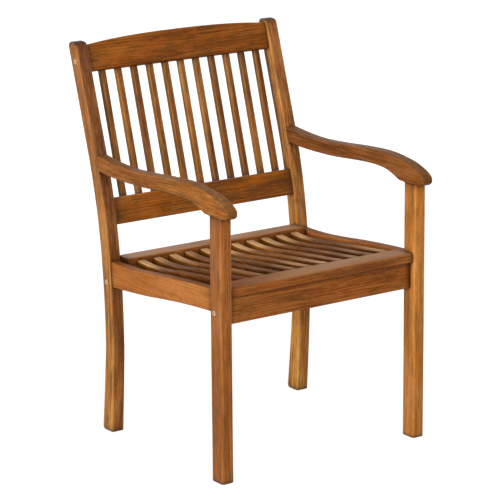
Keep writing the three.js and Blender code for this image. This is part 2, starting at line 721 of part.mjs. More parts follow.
/** Crest rail with its arched top edge and rounded lower front edge. */
function crestRail() {
  const half = BACK_RAIL_THICKNESS / 2;
  const body = loftAlong('x', evenly(-railHalfLength, railHalfLength, CREST_STEPS), (x) => ({
    u0: -half,
    u1: half,
    v0: crestBottom,
    v1: crestTop(x),
    radii: [BACK_RAIL_EDGE_RADIUS, BACK_RAIL_EDGE_RADIUS, CREST_LOWER_FRONT_RADIUS, BACK_RAIL_EDGE_RADIUS],
    steps: CORNER_STEPS,
  }));
  return shaped(body, { cut: [...backSlatHousings(), ...boltedRailCuts(crestBoltPlace, half)] });
}

/** Lower rail of the back, tenoned into both back legs. */
function lowerBackRail() {
  const half = BACK_RAIL_THICKNESS / 2;
  const bar = crossBar({
    front: -half,
    rear: half,
    bottom: lowerRailTop - LOWER_RAIL_HEIGHT,
    top: lowerRailTop,
    radii: [LOWER_RAIL_TOP_RADIUS, LOWER_RAIL_TOP_RADIUS, BACK_RAIL_EDGE_RADIUS, BACK_RAIL_EDGE_RADIUS],
    steps: CORNER_STEPS,
  });
  const add = [lowerRailTenon(-1, 0), lowerRailTenon(1, 0)];
  return shaped(bar, { add, cut: backSlatHousings() });
}

/** Socket-head bolt lying along X, its head at the outer face of a leg. */
function railBolt(side, [y, z]) {
  const headRadius = BOLT_HEAD_DIAMETER / 2;
  const shankRadius = BOLT_SHANK_DIAMETER / 2;
  const headFace = OVERALL_WIDTH / 2 - BOLT_HEAD_RECESS;
  const length = headFace - (railHalfLength - NUT_FROM_RAIL_END - BOLT_END_BEYOND_NUT);
  const profile = [
    [0, 0],
    [shankRadius, 0],
    [shankRadius, length - BOLT_HEAD_HEIGHT],
    [headRadius, length - BOLT_HEAD_HEIGHT],
    [headRadius, length - BOLT_HEAD_CHAMFER],
    [headRadius - BOLT_HEAD_CHAMFER, length],
    [0, length],
  ];
  const body = new THREE.LatheGeometry(profile.map(([r, h]) => new THREE.Vector2(r, h)), ROUND_SIDES);
  const socketRadius = SOCKET_ACROSS_CORNERS / 2;
  const socket = new THREE.CylinderGeometry(socketRadius, socketRadius, 2 * SOCKET_DEPTH, SOCKET_SIDES);
  socket.translate(0, length, 0);
  const bolt = shaped(body, { cut: [socket] });
  return bolt.rotateZ(-side * Math.PI / 2).translate(side * (headFace - length), y, z);
}

/** Slotted barrel nut lying along Y, crossed by its bolt. */
function barrelNut(side, [y, z], openFace) {
  const x = side * (railHalfLength - NUT_FROM_RAIL_END);
  const facing = Math.sign(openFace - y);
  const body = rod('y', y - NUT_LENGTH / 2, y + NUT_LENGTH / 2, NUT_DIAMETER, [x, z]);
  const across = NUT_DIAMETER / 2 + CUT_OVERRUN;
  const bore = rod('x', x - across, x + across, BOLT_SHANK_DIAMETER + 2 * HOLE_CLEARANCE, [y, z]);
  const slotFloor = y + facing * (NUT_LENGTH / 2 - NUT_SLOT_DEPTH);
  const slotMouth = y + facing * (NUT_LENGTH / 2 + CUT_OVERRUN);
  const halfSlot = NUT_SLOT_WIDTH / 2;
  const slot = block([x - across, slotFloor, z - halfSlot], [x + across, slotMouth, z + halfSlot]);
  return shaped(body, { cut: [bore, slot] });
}

/** Locating dowel below a bolt, half in the rail and half in the leg. */
function locatingDowel(side, [y, z]) {
  const radius = DOWEL_DIAMETER / 2;
  const profile = [
    [0, -DOWEL_LENGTH / 2],
    [radius - DOWEL_CHAMFER, -DOWEL_LENGTH / 2],
    [radius, DOWEL_CHAMFER - DOWEL_LENGTH / 2],
    [radius, DOWEL_LENGTH / 2 - DOWEL_CHAMFER],
    [radius - DOWEL_CHAMFER, DOWEL_LENGTH / 2],
    [0, DOWEL_LENGTH / 2],
  ];
  const body = new THREE.LatheGeometry(profile.map(([r, h]) => new THREE.Vector2(r, h)), ROUND_SIDES);
  return body.rotateZ(-Math.PI / 2).translate(side * innerHalfWidth, y, z - DOWEL_DROP);
}

// Assembly
const chair = new THREE.Group();
chair.add(backPanel);

/** Adds a named piece with a finish of its own. */
function addPiece(parent, name, geometry, { color, roughness, metalness = 0 }) {
  const mesh = new THREE.Mesh(geometry, new THREE.MeshStandardMaterial({ color, roughness, metalness }));
  mesh.name = name;
  parent.add(mesh);
}

/** Oiled hardwood, each piece with its own tone. */
function wood(color) {
  return { color, roughness: 0.55 };
}

const zinc = { color: '#cfc6ad', roughness: 0.35, metalness: 0.9 };
const beech = { color: '#c9a06b', roughness: 0.7 };
const sides = [['left', -1], ['right', 1]];

sides.forEach(([name, side]) => {
  addPiece(chair, `back_leg_${name}`, backLeg(side), wood('#a8662f'));
  addPiece(chair, `front_leg_${name}`, frontLeg(side), wood('#9a5c2c'));
  addPiece(chair, `armrest_${name}`, armrest(side), wood('#a5642f'));
  addPiece(chair, `seat_side_rail_${name}`, sideRail(side), wood('#b06d33'));
});

const frontRail = seatRail(
  FRONT_RAIL_SETBACK, frontRailBottom, frontRailTop, frontBoltPlace, FRONT_RAIL_SETBACK + SEAT_RAIL_THICKNESS,
);
const rearRail = seatRail(rearRailFront, rearRailBottom, rearRailTop, rearBoltPlace, rearRailFront);
addPiece(chair, 'front_rail', frontRail, wood('#8f5324'));
addPiece(chair, 'rear_rail', rearRail, wood('#8a5024'));

const frontBoard = seatBoard({
  front: FRONT_BOARD_SETBACK,
  rear: frontBoardRear,
  bottom: SEAT_HEIGHT - BOARD_THICKNESS,
  top: SEAT_HEIGHT,
  radii: [BOARD_EDGE_RADIUS, FRONT_BOARD_NOSE_RADIUS, BOARD_EDGE_RADIUS, BOARD_EDGE_RADIUS],
  slatEdge: frontBoardRear,
});
const rearBoard = seatBoard({
  front: rearBoardFront,
  rear: rearBoardRear,
  bottom: rearBoardBottom,
  top: rearBoardTop,
  radii: allCorners(BOARD_EDGE_RADIUS),
  slatEdge: rearBoardFront,
});
addPiece(chair, 'seat_front_board', frontBoard, wood('#945427'));
addPiece(chair, 'seat_rear_board', rearBoard, wood('#a07450'));

addPiece(backPanel, 'crest_rail', crestRail(), wood('#8c5123'));
addPiece(backPanel, 'lower_back_rail', lowerBackRail(), wood('#8b5020'));

const slatTones = ['#94602f', '#8a5526', '#9c6a3a', '#8f5a2c', '#a06f40'];
const seatSlatShape = seatSlat();
for (let i = 0; i < SLAT_COUNT; i += 1) {
  const number = String(i + 1).padStart(2, '0');
  const tone = slatTones[(i * 2) % slatTones.length];
  addPiece(chair, `seat_slat_${number}`, seatSlatShape.clone().translate(slatX(i), 0, 0), wood(tone));
  addPiece(backPanel, `back_slat_${number}`, backSlat(slatX(i), 0), wood(tone));
}

const boltedRails = [
  ['front_rail', chair, frontBoltPlace, FRONT_RAIL_SETBACK + SEAT_RAIL_THICKNESS],
  ['rear_rail', chair, rearBoltPlace, rearRailFront],
  ['crest_rail', backPanel, crestBoltPlace, BACK_RAIL_THICKNESS / 2],
];
boltedRails.forEach(([rail, parent, place, openFace]) => {
  sides.forEach(([name, side]) => {
    addPiece(parent, `${rail}_bolt_${name}`, railBolt(side, place), zinc);
    addPiece(parent, `${rail}_nut_${name}`, barrelNut(side, place, openFace), zinc);
    addPiece(parent, `${rail}_dowel_${name}`, locatingDowel(side, place), beech);
  });
});

// Origin under the middle of the whole chair
chair.updateMatrixWorld(true);
const limits = new THREE.Box3().setFromObject(chair, true);
const middle = limits.getCenter(new THREE.Vector3());
chair.position.set(-middle.x, -middle.y, -limits.min.z);
chair.updateMatrixWorld(true);

export default chair;
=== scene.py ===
"""Slat-backed garden armchair of oiled hardwood: its finished surfaces, its light and its camera.

Sizes are in millimetres in the chair's own frame, in which X runs across the chair, Y = 0 is
the front face of the front legs and the feet stand on Z = 0. They become metres in the part's
frame when a mesh is finished.
"""

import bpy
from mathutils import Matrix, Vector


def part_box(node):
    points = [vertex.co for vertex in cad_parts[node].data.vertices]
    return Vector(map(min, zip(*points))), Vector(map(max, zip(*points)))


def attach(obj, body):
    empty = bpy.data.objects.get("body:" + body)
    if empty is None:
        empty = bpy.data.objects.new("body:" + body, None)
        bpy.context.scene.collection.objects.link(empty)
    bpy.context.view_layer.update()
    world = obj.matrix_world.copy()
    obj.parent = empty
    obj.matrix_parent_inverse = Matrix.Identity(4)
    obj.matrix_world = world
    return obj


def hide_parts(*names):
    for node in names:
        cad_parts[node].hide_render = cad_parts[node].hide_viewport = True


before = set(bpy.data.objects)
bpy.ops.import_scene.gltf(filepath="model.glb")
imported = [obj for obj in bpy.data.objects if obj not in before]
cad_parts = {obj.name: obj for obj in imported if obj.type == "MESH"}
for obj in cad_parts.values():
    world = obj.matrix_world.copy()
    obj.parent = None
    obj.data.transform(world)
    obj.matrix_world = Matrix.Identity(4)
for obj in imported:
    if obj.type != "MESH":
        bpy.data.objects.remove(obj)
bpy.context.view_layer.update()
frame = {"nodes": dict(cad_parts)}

import logging
import math
import random
from dataclasses import dataclass
from enum import Enum
from functools import cache, partial
from typing import Callable, Sequence

import bmesh
import bpy
from bmesh.types import BMesh
from bpy.types import ID, Material, Mesh, NodeSocket, NodeTree, Object, World
from mathutils import Matrix, Vector

log = logging.getLogger("armchair")

MM = 0.001
FRONT_FACE_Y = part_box("front_leg_left")[0][1]
# Points round each corner of a section, the smallest radius there, the greatest as a share of the
# section's narrow side, and how close to the corner's ends and to the bar's the flat faces get a
# point of their own, which keeps them flat
CORNER_STEPS = 6
LEAST_RADIUS = 0.2
MOST_ROUND = 0.47
SUPPORT = 0.5
# Broken edge of a sawn end, and how far and how strongly the dark of the end grain goes on from it, which
# is also painted shade where the piece meets another
BUTT_CHAMFER = 0.35
GRIME_REACH = 6.0
GRIME_AND_SHADOW_SHARE = 0.8
HOLE_SIDES = 48
# Stations along a straight bar, and round the rounded end of a leg or an arm
BAR_STATIONS = 24
ROUND_STEPS = 12
# Where in its tree a board may come from: two ways across the grain and one along it, in metres
TREE = ((0.05, 0.16), (0.05, 0.16), (0.0, 9.0))

Rings = list[tuple[float, float, float]]
Shape = Callable[[Vector], Vector]
Table = tuple[tuple[float, float], ...]
Hole = tuple[Vector, Vector, float]
Spot = tuple[float, float]


class Side(Enum):
    """Left or right side of the chair, as seen by someone who stands in front of it."""

    LEFT = -1
    RIGHT = 1

    @property
    def word(self) -> str:
        """The side's name in lower case."""
        return self.name.lower()


class Run(Enum):
    """Direction in which a bar is lofted and in which its grain runs.

    The value says where X, Y and Z are found in (u, v, along), the bar's own coordinates.
    """

    ACROSS = (2, 0, 1)
    BACKWARDS = (1, 2, 0)
    UP = (0, 1, 2)

    def point(self, *own: float) -> Vector:
        """Point in the chair's frame at u, v and along in the bar's own coordinates."""
        return Vector([own[i] for i in self.value])

    def grain(self, point: Vector) -> Vector:
        """The same point in the bar's own coordinates, the last of which runs with the grain."""
        return Vector([point[self.value.index(i)] for i in range(3)])


def linear(code: str) -> tuple[float, float, float, float]:
    """Linear colour of an sRGB hex code.

    Args:
        code: the colour as "#rrggbb".

    Returns:
        Red, green, blue and an alpha of 1.
    """
    parts = [int(code[i : i + 2], 16) / 255 for i in (1, 3, 5)]
    red, green, blue = (c / 12.92 if c <= 0.04045 else ((c + 0.055) / 1.055) ** 2.4 for c in parts)
    return red, green, blue, 1.0


def add_node(
    tree: NodeTree, kind: str, inputs: dict[int | str, object] | None = None, out: int | str = 0,
    **settings: object,
) -> NodeSocket | None:
    """Adds a node to a tree with its settings and links.

    Args:
        tree: the shader or geometry tree.
        kind: the node's type name.
        inputs: a value or a socket to link for each input, by name or number.
        out: name or number of the output that is wanted.
        **settings: the node's own properties.

    Returns:
        That output, or None for a node that ends its tree.
    """
    node = tree.nodes.new(kind)
    for name, value in settings.items():
        setattr(node, name, value)
    for key, value in (inputs or {}).items():
        if isinstance(value, NodeSocket):
            tree.links.new(value, node.inputs[key])
        else:
            node.inputs[key].default_value = value
    return node.outputs[out] if len(node.outputs) else None


def layered(
    tree: NodeTree, colour: NodeSocket | tuple[float, ...],
    layers: Sequence[tuple[NodeSocket, float, float, float, NodeSocket | tuple[float, ...]]],
) -> NodeSocket:
    """Lays colours over each other, each where a value lets it through.

    Args:
        tree: the shader tree.
        colour: the lowest colour.
        layers: for each layer its value, the value where it starts and where it is strongest, its
            greatest share and its colour.

    Returns:
        The colour of all of them together.
    """
    for value, start, full, most, over in layers:
        share = add_node(tree, "ShaderNodeMapRange", {0: value, 1: start, 2: full, 4: most})
        colour = add_node(tree, "ShaderNodeMix", {0: share, 6: colour, 7: over}, 2, data_type="RGBA")
    return colour


def empty_tree(owner: Material | World) -> NodeTree:
    """Node tree of a material or a world without its first nodes."""
    owner.use_nodes = True
    owner.node_tree.nodes.clear()
    return owner.node_tree


def in_scene(name: str, data: ID) -> Object:
    """New object of the scene that shows the data."""
    shown = bpy.data.objects.new(name, data)
    bpy.context.scene.collection.objects.link(shown)
    return shown


def curve_through(table: Table, place: float) -> float:
    """Value of a smooth curve through a table of places and values.

    Args:
        table: pairs of place and value, in rising order of place.
        place: where the value is wanted.

    Returns:
        The value there.
    """
    last = len(table) - 1
    i = 0
    while i < last - 1 and place > table[i + 1][0]:
        i += 1

    def slope(k: int) -> float:
        """Slope of the curve at a point of the table."""
        before, after = table[max(k - 1, 0)], table[min(k + 1, last)]
        return (after[1] - before[1]) / (after[0] - before[0])

    (x0, y0), (x1, y1) = table[i], table[i + 1]
    span = x1 - x0
    t = (place - x0) / span
    start = (2 * t**3 - 3 * t**2 + 1) * y0 + (t**3 - 2 * t**2 + t) * span * slope(i)
    end = (3 * t**2 - 2 * t**3) * y1 + (t**3 - t**2) * span * slope(i + 1)
    return start + end


def evenly(start: float, end: float, count: int) -> list[float]:
    """Numbers spaced evenly from one end to the other, both included."""
    return [start + (end - start) * i / count for i in range(count + 1)]


def eased(reach: float, count: int) -> list[float]:
    """Distances from a rounded end, closest together at its tip."""
    return [reach * share * share for share in evenly(0, 1, count)]


def round_inset(radius: float, distance: float) -> float:
    """How far a quarter-round end draws in at a distance from its tip."""
    rest = max(radius - distance, 0.0)
    return radius - math.sqrt(max(radius * radius - rest * rest, 0.0))


@dataclass(frozen=True)
class Section:
    """Rounded rectangle across a bar, with a radius for each corner.

    The corners are in the order (u1, v1), (u0, v1), (u0, v0), (u1, v0).
    """

    u0: float
    u1: float
    v0: float
    v1: float
    radii: tuple[float, float, float, float]

    @property
    def narrow(self) -> float:
        """The shorter of its two sides."""
        return min(self.u1 - self.u0, self.v1 - self.v0)

    def ring(self) -> Rings:
        """Points round the section, anticlockwise, each with its share of worn and highlit edge.

        Returns:
            Place in u and v and share of each point.
        """
        corners = (
            (self.u1, self.v1, -1, -1), (self.u0, self.v1, 1, -1), (self.u0, self.v0, 1, 1),
            (self.u1, self.v0, -1, 1),
        )
        step = min(SUPPORT, 0.05 * self.narrow)
        wear_and_highlight = [math.sin(math.pi * i / CORNER_STEPS) ** 0.5 for i in range(CORNER_STEPS + 1)]
        points: Rings = []
        for k, (u, v, su, sv) in enumerate(corners):
            radius = min(max(self.radii[k], LEAST_RADIUS), MOST_ROUND * self.narrow)
            first, last = k * math.pi / 2, (k + 1) * math.pi / 2
            u, v = u + su * radius, v + sv * radius
            arc = [
                (u + radius * math.cos(a), v + radius * math.sin(a), edge)
                for a, edge in zip(evenly(first, last, CORNER_STEPS), wear_and_highlight)
            ]
            before = (arc[0][0] + math.sin(first) * step, arc[0][1] - math.cos(first) * step, 0.0)
            after = (arc[-1][0] - math.sin(last) * step, arc[-1][1] + math.cos(last) * step, 0.0)
            points += [before, *arc, after]
        return points

    def inset(self, by: float) -> "Section":
        """The section drawn in on all sides."""
        radii = tuple(max(r - by, LEAST_RADIUS) for r in self.radii)
        return Section(self.u0 + by, self.u1 - by, self.v0 + by, self.v1 - by, radii)


def butt_ends(places: Sequence[float], section: Callable[[float], Section]) -> list[tuple[float, Section]]:
    """Stations of a bar whose sawn ends have a fine broken edge.

    Args:
        places: places along the bar, both ends included.
        section: the section at a place.

    Returns:
        Pairs of place and section.
    """
    first, last = places[0], places[-1]
    ends = (first, first + BUTT_CHAMFER, first + 3 * BUTT_CHAMFER)
    others = (last - 3 * BUTT_CHAMFER, last - BUTT_CHAMFER, last)
    middle = [p for p in places if ends[-1] < p < others[0]]
    stations = [(p, section(p)) for p in (*ends, *middle, *others)]
    for k in (0, -1):
        stations[k] = (stations[k][0], stations[k][1].inset(BUTT_CHAMFER))
    return stations


def closed(body: BMesh, loops: Sequence[list[bmesh.types.BMVert]]) -> BMesh:
    """Joins loops of points with faces and closes the first and the last.

    Args:
        body: the mesh that the points belong to.
        loops: as many points in each loop, from one end to the other.

    Returns:
        The mesh with its faces.
    """
    count = len(loops[0])
    for one, two in zip(loops, loops[1:]):
        for k in range(count):
            j = (k + 1) % count
            body.faces.new((one[k], one[j], two[j], two[k]))
    body.faces.new(list(reversed(loops[0])))
    body.faces.new(loops[-1])
    bmesh.ops.recalc_face_normals(body, faces=body.faces)
    return body


def loft(
    run: Run, stations: Sequence[tuple[float, Section]], shape: Shape | None = None,
    grime_and_shadow: tuple[float, float] = (GRIME_REACH, GRIME_REACH),
) -> BMesh:
    """Closed bar through rounded sections.

    Args:
        run: the direction of the bar.
        stations: pairs of place and section from one end to the other.
        shape: moves each point after it is placed, as a bend or a scribed end does.
        grime_and_shadow: how far the dark of the end grain, which is also painted shade where the bar meets
            another piece, reaches along the bar from its first and its last end.

    Returns:
        The bar in millimetres, with its worn and highlit edges, and its end grain with painted shade near
        its ends, marked on the points.
    """
    bar = bmesh.new()
    wear_and_highlight = bar.verts.layers.float.new("worn_edge")
    ends = bar.verts.layers.float.new("end_grain")
    first, last = stations[0][0], stations[-1][0]
    caps = [
        (place, section.inset(min(SUPPORT, 0.1 * section.narrow)))
        for place, section in (stations[0], stations[-1])
    ]
    loops = []
    for place, section in (caps[0], *stations, caps[1]):
        near = min((place - first) / grime_and_shadow[0], (last - place) / grime_and_shadow[1])
        end = 1.0 if near <= 0 else math.exp(-near) * GRIME_AND_SHADOW_SHARE
        loops.append([])
        for u, v, edge in section.ring():
            at = run.point(u, v, place)
            vert = bar.verts.new(shape(at) if shape else at)
            vert[wear_and_highlight], vert[ends] = edge, end
            loops[-1].append(vert)
    return closed(bar, loops)


def evaluated_mesh(piece: Object) -> Mesh:
    """Plain mesh of an object with its modifiers worked in."""
    depsgraph = bpy.context.evaluated_depsgraph_get()
    return bpy.data.meshes.new_from_object(piece.evaluated_get(depsgraph), depsgraph=depsgraph)


def as_mesh(name: str, shape: BMesh, crease: float | None = None) -> Mesh:
    """Mesh of a shape, which is used up.

    Args:
        name: the mesh's name.
        shape: the shape.
        crease: angle in degrees from which an edge stays sharp on a smooth mesh.

    Returns:
        The mesh.
    """
    mesh = bpy.data.meshes.new(name)
    shape.to_mesh(mesh)
    shape.free()
    if crease:
        mesh.shade_smooth()
        mesh.set_sharp_from_angle(angle=math.radians(crease))
    return mesh


def cut_from(body: BMesh, tool: BMesh, overlaps: bool = False) -> BMesh:
    """The body with another shape cut out of it.

    Args:
        body: the shape that stays.
        tool: the shape that is taken away.
        overlaps: whether parts of the tool overlap each other.

    Returns:
        A new shape.
    """
    blank, cutter = in_scene("blank", as_mesh("blank", body)), in_scene("cutter", as_mesh("cutter", tool))
    cut = blank.modifiers.new("cut", "BOOLEAN")
    cut.object, cut.operation, cut.solver, cut.use_self = cutter, "DIFFERENCE", "EXACT", overlaps
    result = bmesh.new()
    result.from_mesh(evaluated_mesh(blank))
    for unwanted in (blank, cutter):
        bpy.data.objects.remove(unwanted)
    return result


def drilled(bar: BMesh, holes: Sequence[Hole]) -> BMesh:
    """The bar with round holes cut into it.

    Args:
        bar: the bar in millimetres.
        holes: start, end and diameter of each hole.

    Returns:
        A new bar.
    """
    drills = bmesh.new()
    for start, end, diameter in holes:
        way = end - start
        turn = way.to_track_quat("Z", "Y").to_matrix().to_4x4()
        bmesh.ops.create_cone(
            drills, cap_ends=True, segments=HOLE_SIDES, radius1=diameter / 2, radius2=diameter / 2,
            depth=way.length, matrix=Matrix.Translation((start + end) / 2) @ turn,
        )
    return cut_from(bar, drills, overlaps=True)


@dataclass(frozen=True)
class Finish:
    """Procedural material of a kind of surface, and the name of a record's slot."""

    name: str
    slot: str

    def material(self) -> Material:
        """Builds the material once and gives it back after that.

        Returns:
            The material.
        """
        material = bpy.data.materials.get(self.name)
        if not material:
            material = bpy.data.materials.new(self.name)
            self.build(empty_tree(material))
        return material

    def build(self, tree: NodeTree) -> None:
        """Fills the material's empty tree."""
        raise NotImplementedError

    def close(
        self, tree: NodeTree, relief: NodeSocket, depth: tuple[float, float], surface: dict[str, object]
    ) -> None:
        """Ends the tree with a surface in relief.

        Args:
            tree: the shader tree.
            relief: height of the surface.
            depth: strength of the bump, and its depth in metres.
            surface: the shader's inputs.
        """
        bump = {"Strength": depth[0], "Distance": depth[1], "Height": relief}
        shader = {**surface, "Normal": add_node(tree, "ShaderNodeBump", bump)}
        shown = add_node(tree, "ShaderNodeBsdfPrincipled", shader)
        add_node(tree, "ShaderNodeOutputMaterial", {"Surface": shown})


@dataclass(frozen=True)
class OiledHardwood(Finish):
    """Planed, sanded and oiled tropical hardwood, with the grain along the board.

    Long streaks of brown and orange run with the grain, fine dark pores break them up, sharp
    edges are worn lighter with a painted highlight, and surfaces that face the sky take a weather-bleached
    colour that is also painted top light. Painted shade darkens faces that look down, the wood near where
    pieces meet and the corners between them.
    """

    heart: str = "#a0601f"
    dark: str = "#63350f"
    light: str = "#c48536"
    olive: str = "#5e431c"
    orange: str = "#b4642c"
    pore: str = "#3a1c0c"
    sun: str = "#b08c70"
    soil: str = "#3f220e"
    old_oil: str = "#2a1407"
    sun_share: float = 0.5
    roughness: float = 0.46
    ring_spacing: float = 7.0
    band_width: float = 13.0
    streak_width: float = 3.2
    streak_length: float = 180.0
    fleck_width: float = 2.0
    fleck_length: float = 30.0
    fibre_width: float = 0.6
    fibre_length: float = 34.0
    pore_width: float = 0.45
    pore_length: float = 9.0
    patch: float = 70.0
    stain: float = 24.0
    mottle: float = 0.45
    figure: float = 1.0
    end_share: float = 0.85
    front_wear: float = 0.0
    shine: float = 0.2
    nook: float = 12.0
    nook_share: float = 0.75

    def build(self, tree: NodeTree) -> None:
        """Builds the shader tree.

        Args:
            tree: the material's empty tree.
        """
        add = partial(add_node, tree)
        board = add("ShaderNodeAttribute", out="Vector", attribute_name="grain")
        tone, edge, rubbed, end = (
            add("ShaderNodeAttribute", out="Fac", attribute_name=name)
            for name in ("board_tone", "worn_edge", "rubbed", "end_grain")
        )
        facing = add("ShaderNodeTexCoord", out="Normal")
        up = add("ShaderNodeSeparateXYZ", {0: facing}, "Z")

        # The tree's growth was never straight, so every pattern below waves a little
        bent = add("ShaderNodeMapping", {"Vector": board, "Scale": (1, 1, 0.22)})
        wave = add("ShaderNodeTexNoise", {"Vector": bent, "Scale": 14.0, "Detail": 1.0}, "Color")
        centred = add("ShaderNodeVectorMath", {0: wave, 1: (0.5, 0.5, 0.5)}, operation="SUBTRACT")
        sway = add("ShaderNodeVectorMath", {0: centred, 1: (0.016, 0.016, 0)}, operation="MULTIPLY")
        grain = add("ShaderNodeVectorMath", {0: board, 1: sway})

        # Noise drawn out along the grain: width and length of a streak in millimetres, and octaves
        noises = []
        for width, length, detail in (
            (self.band_width, 25 * self.band_width, 2.0), (self.streak_width, self.streak_length, 4.0),
            (self.fibre_width, self.fibre_length, 2.0), (self.pore_width, self.pore_length, 1.0),
            (self.patch, 3 * self.patch, 2.0), (self.stain, 2 * self.stain, 3.0),
            (self.fleck_width, self.fleck_length, 3.0),
        ):
            drawn = add("ShaderNodeMapping", {"Vector": grain, "Scale": (1, 1, width / length)})
            look = {"Vector": drawn, "Scale": 1 / (width * MM), "Detail": detail, "Roughness": 0.6}
            noises.append(add("ShaderNodeTexNoise", look))
        bands, streaks, fibres, pores, patches, stain, flecks = noises
        look = {
            "Vector": grain, "Scale": 0.314 / (self.ring_spacing * MM), "Distortion": 1.8, "Detail": 2.0,
            "Detail Scale": 0.6,
        }
        rings = add(
            "ShaderNodeTexWave", look, "Fac", wave_type="RINGS", rings_direction="Z", wave_profile="SAW"
        )
        dark, light = linear(self.dark), linear(self.light)
        colour = layered(tree, linear(self.heart), (
            (bands, 0.46, 0.66, 0.60 * self.figure, dark),
            (patches, 0.50, 0.66, 0.60 * self.figure, light),
            (patches, 0.46, 0.32, 0.60 * self.figure, dark),
            (stain, 0.52, 0.66, self.mottle, linear(self.olive)),
            (stain, 0.48, 0.34, 0.8 * self.mottle, linear(self.orange)),
            (rings, 0.35, 1.0, 0.30 * self.figure, dark),
            (streaks, 0.52, 0.66, 0.45 * self.figure, light),
            (streaks, 0.47, 0.32, 0.48 * self.figure, dark),
            (flecks, 0.54, 0.70, 0.42 * self.figure, light),
            (flecks, 0.46, 0.30, 0.42 * self.figure, dark),
            (fibres, 0.58, 0.70, 0.25, dark),
            (pores, 0.60, 0.68, 0.55, linear(self.pore)),
            # Edges are worn lighter, which is also a painted highlight along the rounded edges
            (edge, 0.1, 1.0, 0.08, light),
        ))

        # Tops take a colour that is weather-bleached and also painted top light, a painted sheen where it
        # is pale and painted shade where it is dark; the tilt carries it onto the fronts, and it stays off
        # where people work new oil into the wood, which is also painted shade
        aim = {0: facing, 1: (0, -self.front_wear, 1)}
        facing_sky = add("ShaderNodeVectorMath", aim, "Value", operation="DOT_PRODUCT")
        bleach_and_painted_top_light_mask = 1.0
        for value, start, full, most in (
            (facing_sky, 0.55, 0.92, 1.0), (rubbed, 1.0, 0.0, self.sun_share), (patches, 0.2, 0.62, 1.2)
        ):
            share = add("ShaderNodeMapRange", {0: value, 1: start, 2: full, 4: most})
            bleach_and_painted_top_light_mask = add("ShaderNodeMath", {0: bleach_and_painted_top_light_mask, 1: share}, operation="MULTIPLY", use_clamp=True)
        bleached_and_painted_top = layered(tree, linear(self.sun), ((streaks, 0.36, 0.64, 0.55, colour),))
        colour = add("ShaderNodeMix", {0: bleach_and_painted_top_light_mask, 6: colour, 7: bleached_and_painted_top}, 2, data_type="RGBA")
        # Painted shade: faces that look down grow darker, as does the wood near its ends
        sawn = add("ShaderNodeMapRange", {0: end, 1: 0.05, 4: self.end_share})
        below = add("ShaderNodeMapRange", {0: up, 1: -0.25, 2: -0.9, 4: 0.45})
        soiled_and_under_shaded = add("ShaderNodeMath", {0: sawn, 1: below}, operation="MAXIMUM")
        colour = layered(tree, colour, ((soiled_and_under_shaded, 0.0, 1.0, 1.0, linear(self.soil)),))

        warmer, brighter = (
            add("ShaderNodeMapRange", {0: tone, 3: low, 4: high})
            for low, high in ((0.493, 0.510), (0.54, 1.62))
        )
        colour = add(
            "ShaderNodeHueSaturation",
            {"Hue": warmer, "Saturation": 1.03, "Value": brighter, "Fac": 1.0, "Color": colour},
        )
        # Painted shade: ambient occlusion darkens the colour where two pieces meet, under overhangs and in
        # the gaps between slats
        corner = add("ShaderNodeAmbientOcclusion", {"Distance": self.nook * MM}, "AO", samples=8)
        colour = layered(tree, colour, ((corner, 0.9, 0.4, self.nook_share, linear(self.old_oil)),))

        open_pores = add("ShaderNodeMapRange", {0: pores, 1: 0.60, 2: 0.68})
        relief = 0.0
        for value, height in ((fibres, 0.5), (streaks, 0.6), (open_pores, -0.5)):
            relief = add("ShaderNodeMath", {0: value, 1: height, 2: relief}, operation="MULTIPLY_ADD")
        sheen = add(
            "ShaderNodeMapRange",
            {0: streaks, 1: 0.3, 2: 0.7, 3: self.roughness + 0.07, 4: self.roughness - 0.07},
        )
        rough = add("ShaderNodeMath", {0: open_pores, 1: 0.2, 2: sheen}, operation="MULTIPLY_ADD")
        surface = {"Base Color": colour, "Roughness": rough, "IOR": 1.5, "Specular IOR Level": self.shine}
        self.close(tree, relief, (0.45, 0.0003), surface)


@dataclass(frozen=True)
class PlatedSteel(Finish):
    """Zinc-plated and passivated steel: a pale, slightly yellow metal with a dull, cloudy shine.

    Painted shade, read from ambient occlusion, darkens the sockets and round the rims.
    """

    name: str = "zinc plated steel"
    slot: str = "zinc_steel"
    bright: str = "#e2c09a"
    dull: str = "#bd956c"
    grease: str = "#3d2614"
    grease_reach: float = 2.5
    cloud: float = 2.5

    def build(self, tree: NodeTree) -> None:
        """Builds the shader tree.

        Args:
            tree: the material's empty tree.
        """
        add = partial(add_node, tree)
        place = add("ShaderNodeTexCoord", out="Object")
        look = {"Vector": place, "Scale": 1 / (self.cloud * MM), "Detail": 4.0}
        clouds = add("ShaderNodeTexNoise", look)
        # Painted shade in the sockets and round the rims
        nook = add("ShaderNodeAmbientOcclusion", {"Distance": self.grease_reach * MM}, "AO", samples=8)
        colour = layered(tree, linear(self.dull), (
            (clouds, 0.0, 1.0, 1.0, linear(self.bright)), (nook, 0.9, 0.5, 0.85, linear(self.grease)),
        ))
        rough = add("ShaderNodeMapRange", {0: clouds, 1: 0.3, 2: 0.7, 3: 0.45, 4: 0.28})
        surface = {"Base Color": colour, "Metallic": 0.35, "Roughness": rough}
        self.close(tree, clouds, (0.15, 0.0001), surface)


@dataclass(frozen=True)
class TurnedBeech(Finish):
    """Turned beech of the dowels: pale straw wood with short brown flecks along it."""

    name: str = "turned beech"
    slot: str = "dowel_beech"
    pale: str = "#d0a878"
    fleck: str = "#9a6a3c"

    def build(self, tree: NodeTree) -> None:
        """Builds the shader tree.

        Args:
            tree: the material's empty tree.
        """
        add = partial(add_node, tree)
        place = add("ShaderNodeTexCoord", out="Object")
        drawn = add("ShaderNodeMapping", {"Vector": place, "Scale": (0.15, 1, 1)})
        flecks = add("ShaderNodeTexNoise", {"Vector": drawn, "Scale": 1200.0, "Detail": 2.0})
        colour = layered(tree, linear(self.pale), ((flecks, 0.55, 0.7, 1.0, linear(self.fleck)),))
        self.close(tree, flecks, (0.3, 0.0002), {"Base Color": colour, "Roughness": 0.65})
